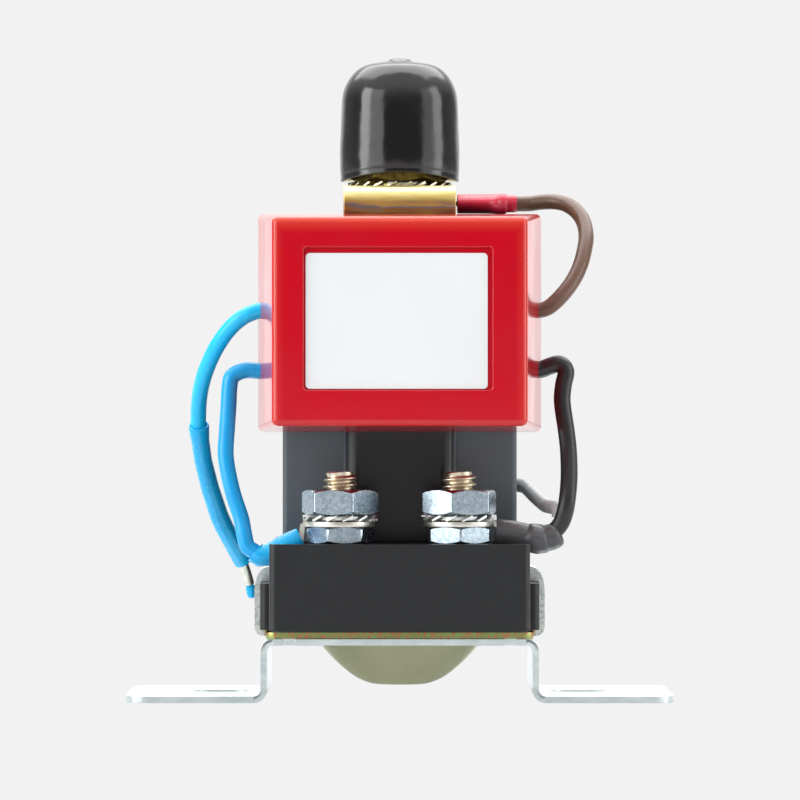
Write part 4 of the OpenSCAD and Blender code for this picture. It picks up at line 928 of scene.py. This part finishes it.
for point in hold:
    point.co.x = math.copysign(recess_size[0] / 2, point.co.x) + recess_x
    point.co.z = recess_z + math.copysign(recess_size[1] / 2, point.co.z - middle_z)
bevel(shape, hold, width=0.85, segments=5, affect="VERTICES")
face = max((panel for panel in shape.faces if abs(panel.calc_center_median().y - front_y) < 0.01
            and abs(panel.calc_center_median().x - recess_x) < 2), key=lambda panel: panel.calc_area())
bmesh.ops.inset_region(shape, faces=[face], thickness=0.22, depth=-0.22)
bmesh.ops.inset_region(shape, faces=[face], thickness=0.05, depth=-0.58)
box = make_piece("red_box_shell", shape, "control_box", crease=50)
wall = box.modifiers.new("wall", "SOLIDIFY")
wall.thickness = 2 * MM
wall.offset = -1
wall.use_even_offset = True
even_flats(box)

# %% Label
shape = bmesh.new()
fill_sheet(shape, rounded_loop(shape, width=33.14, depth=24.74, radius=0.75), thickness=0.2)
upright = Matrix.Translation((-0.55, -51.2, 71.1)) @ Matrix.Rotation(math.radians(90), 4, "X")
bmesh.ops.transform(shape, matrix=upright, verts=shape.verts)
make_piece("plain_label", shape, "box_label", edge=0.04)

# %% [markdown]
# ## Return spring
# The spring is round wire wound in seven open turns: a ring of wire is spun round the axis and lifted as it
# goes. The real spring shortens by the plunger's 2 mm when the coil pulls, with its upper end held by the
# fixed core; here it is wound only at its rest length, and the travel is not used.

# %% Return spring
low, high, wire, turns, steps, travel = 51.8, 65.9, 0.35, 7, 24, 2.02
shape = bmesh.new()
section = bmesh.ops.create_circle(shape, cap_ends=False, segments=14, radius=wire)["verts"]
bmesh.ops.rotate(shape, cent=(0, 0, 0), matrix=Matrix.Rotation(math.radians(90), 3, "X"), verts=section)
move(shape, section, (2.6, 0, low + wire))
first = lines_at(section)
rise = (high - low - 2 * wire) / (turns * steps)
last = spin(shape, section + first, 2 * math.pi * turns, turns * steps, rise=rise)
bmesh.ops.contextual_create(shape, geom=first)
bmesh.ops.contextual_create(shape, geom=lines_of(last))
spring = make_piece("wound_return_spring", shape, "return_spring")
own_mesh(spring)

# %% [markdown]
# ## Moulded base, housing, yoke and ring terminals
# These have the right shape already, but a model for measuring has razor edges. A copy of each is cleaned of
# its triangles and its edges are rounded, as a mould or a press leaves them.

# %% Rounded copies
def rounded_copy(node, name, edge):
    """A copy of a measured piece with its edges rounded."""
    shape = bmesh.new()
    shape.from_mesh(frame["nodes"][node].data)
    bmesh.ops.scale(shape, vec=(1000, 1000, 1000), verts=shape.verts)
    bmesh.ops.remove_doubles(shape, verts=shape.verts, dist=0.002)
    bmesh.ops.dissolve_limit(shape, angle_limit=math.radians(1), use_dissolve_boundaries=False,
                             verts=shape.verts, edges=shape.edges)
    soften(shape, edge)
    even_flats(make_piece(name, shape, node))


rounded_copy("contact_base", "moulded_base", 0.3)
rounded_copy("coil_housing", "moulded_housing", 0.35)
rounded_copy("yoke_frame", "bent_yoke", 0.25)
for hand in ("left", "right"):
    rounded_copy(hand + "_ring_terminal", hand + "_crimp_ring", 0.1)

# %% [markdown]
# ## Floor and light
# The relay stands on a pale sheet. Two tall soft boxes stand on each side of the camera, the outer one
# stronger, and a wide one hangs overhead. The room in front and at the sides is dim, which leaves the dark
# stripes on the cap. The camera sees the sheet and the room behind it as one pale tone. To all else the
# sheet is a dull grey that glows a little, which keeps the dome under the base bright.

# %% Floor
PALE_TONE = paint("#F2F2F2")
shape = bmesh.new()
bmesh.ops.create_grid(shape, x_segments=1, y_segments=1, size=4)
move(shape, shape.verts, (0, 0, -0.00005))
mesh = bpy.data.meshes.new("studio_floor")
shape.to_mesh(mesh)
shape.free()
floor = bpy.data.objects.new("studio_floor", mesh)
scene.collection.objects.link(floor)

pale_sheet = bpy.data.materials.new("pale_sheet")
add = open_tree(pale_sheet)
dull = add("BsdfDiffuse", {"Color": (0.35, 0.35, 0.35, 1)})
lit = add("Emission", {"Color": (0.36, 0.36, 0.36, 1)})
matt = add("AddShader", {0: dull, 1: lit})
even = add("Emission", {"Color": PALE_TONE})
both = add("MixShader", {0: add("LightPath"), 1: matt, 2: even})
add("OutputMaterial", {"Surface": both})
mesh.materials.append(pale_sheet)

# %% Room
world = bpy.data.worlds.new("studio")
scene.world = world
add = open_tree(world)
away = add("TexCoord").outputs["Generated"]
axes = add("SeparateXYZ", {"Vector": away}).outputs
overhead = add("MapRange", {"Value": axes["Z"], "From Min": 0.15, "From Max": 0.7})
behind = add("MapRange", {"Value": axes["Y"], "From Min": 0.72, "From Max": 0.88})
share = add("Math", {0: overhead, 1: behind}, operation="MAXIMUM")
flags = add("MapRange", {"Value": axes["Y"], "From Min": -0.1, "From Max": 0.3, "To Min": 0.11,
                         "To Max": 0.3})
room = add("Mix", {0: share, 6: flags, 7: (1.15, 1.15, 1.15, 1)}, data_type="RGBA")
around = add("Background", {"Color": room})
backdrop = add("Background", {"Color": PALE_TONE})
both = add("MixShader", {0: add("LightPath"), 1: around, 2: backdrop})
add("OutputWorld", {"Surface": both})


# %% Soft boxes
def soft_box(name, place, width, height, power):
    """A soft box that faces the relay."""
    glow = bpy.data.lights.new(name, "AREA")
    glow.shape = "RECTANGLE"
    glow.size = width
    glow.size_y = height
    glow.energy = power
    light = bpy.data.objects.new(name, glow)
    light.location = place
    light.rotation_euler = (Vector((0, 0, 0.06)) - Vector(place)).to_track_quat("-Z", "Y").to_euler()
    light.visible_camera = False
    scene.collection.objects.link(light)


soft_box("left_outer_box", (-0.856, -0.278, 0.1), width=0.32, height=1.1, power=6)
soft_box("left_inner_box", (-0.658, -0.614, 0.1), width=0.48, height=1.1, power=3.4)
soft_box("right_outer_box", (0.886, -0.156, 0.1), width=0.32, height=1.1, power=3.7)
soft_box("right_inner_box", (0.763, -0.477, 0.1), width=0.4, height=1.1, power=1.7)
soft_box("overhead_soft_box", (0, 0.4, 1.0), width=1.8, height=1.2, power=20)
scene.view_settings.view_transform = "Standard"
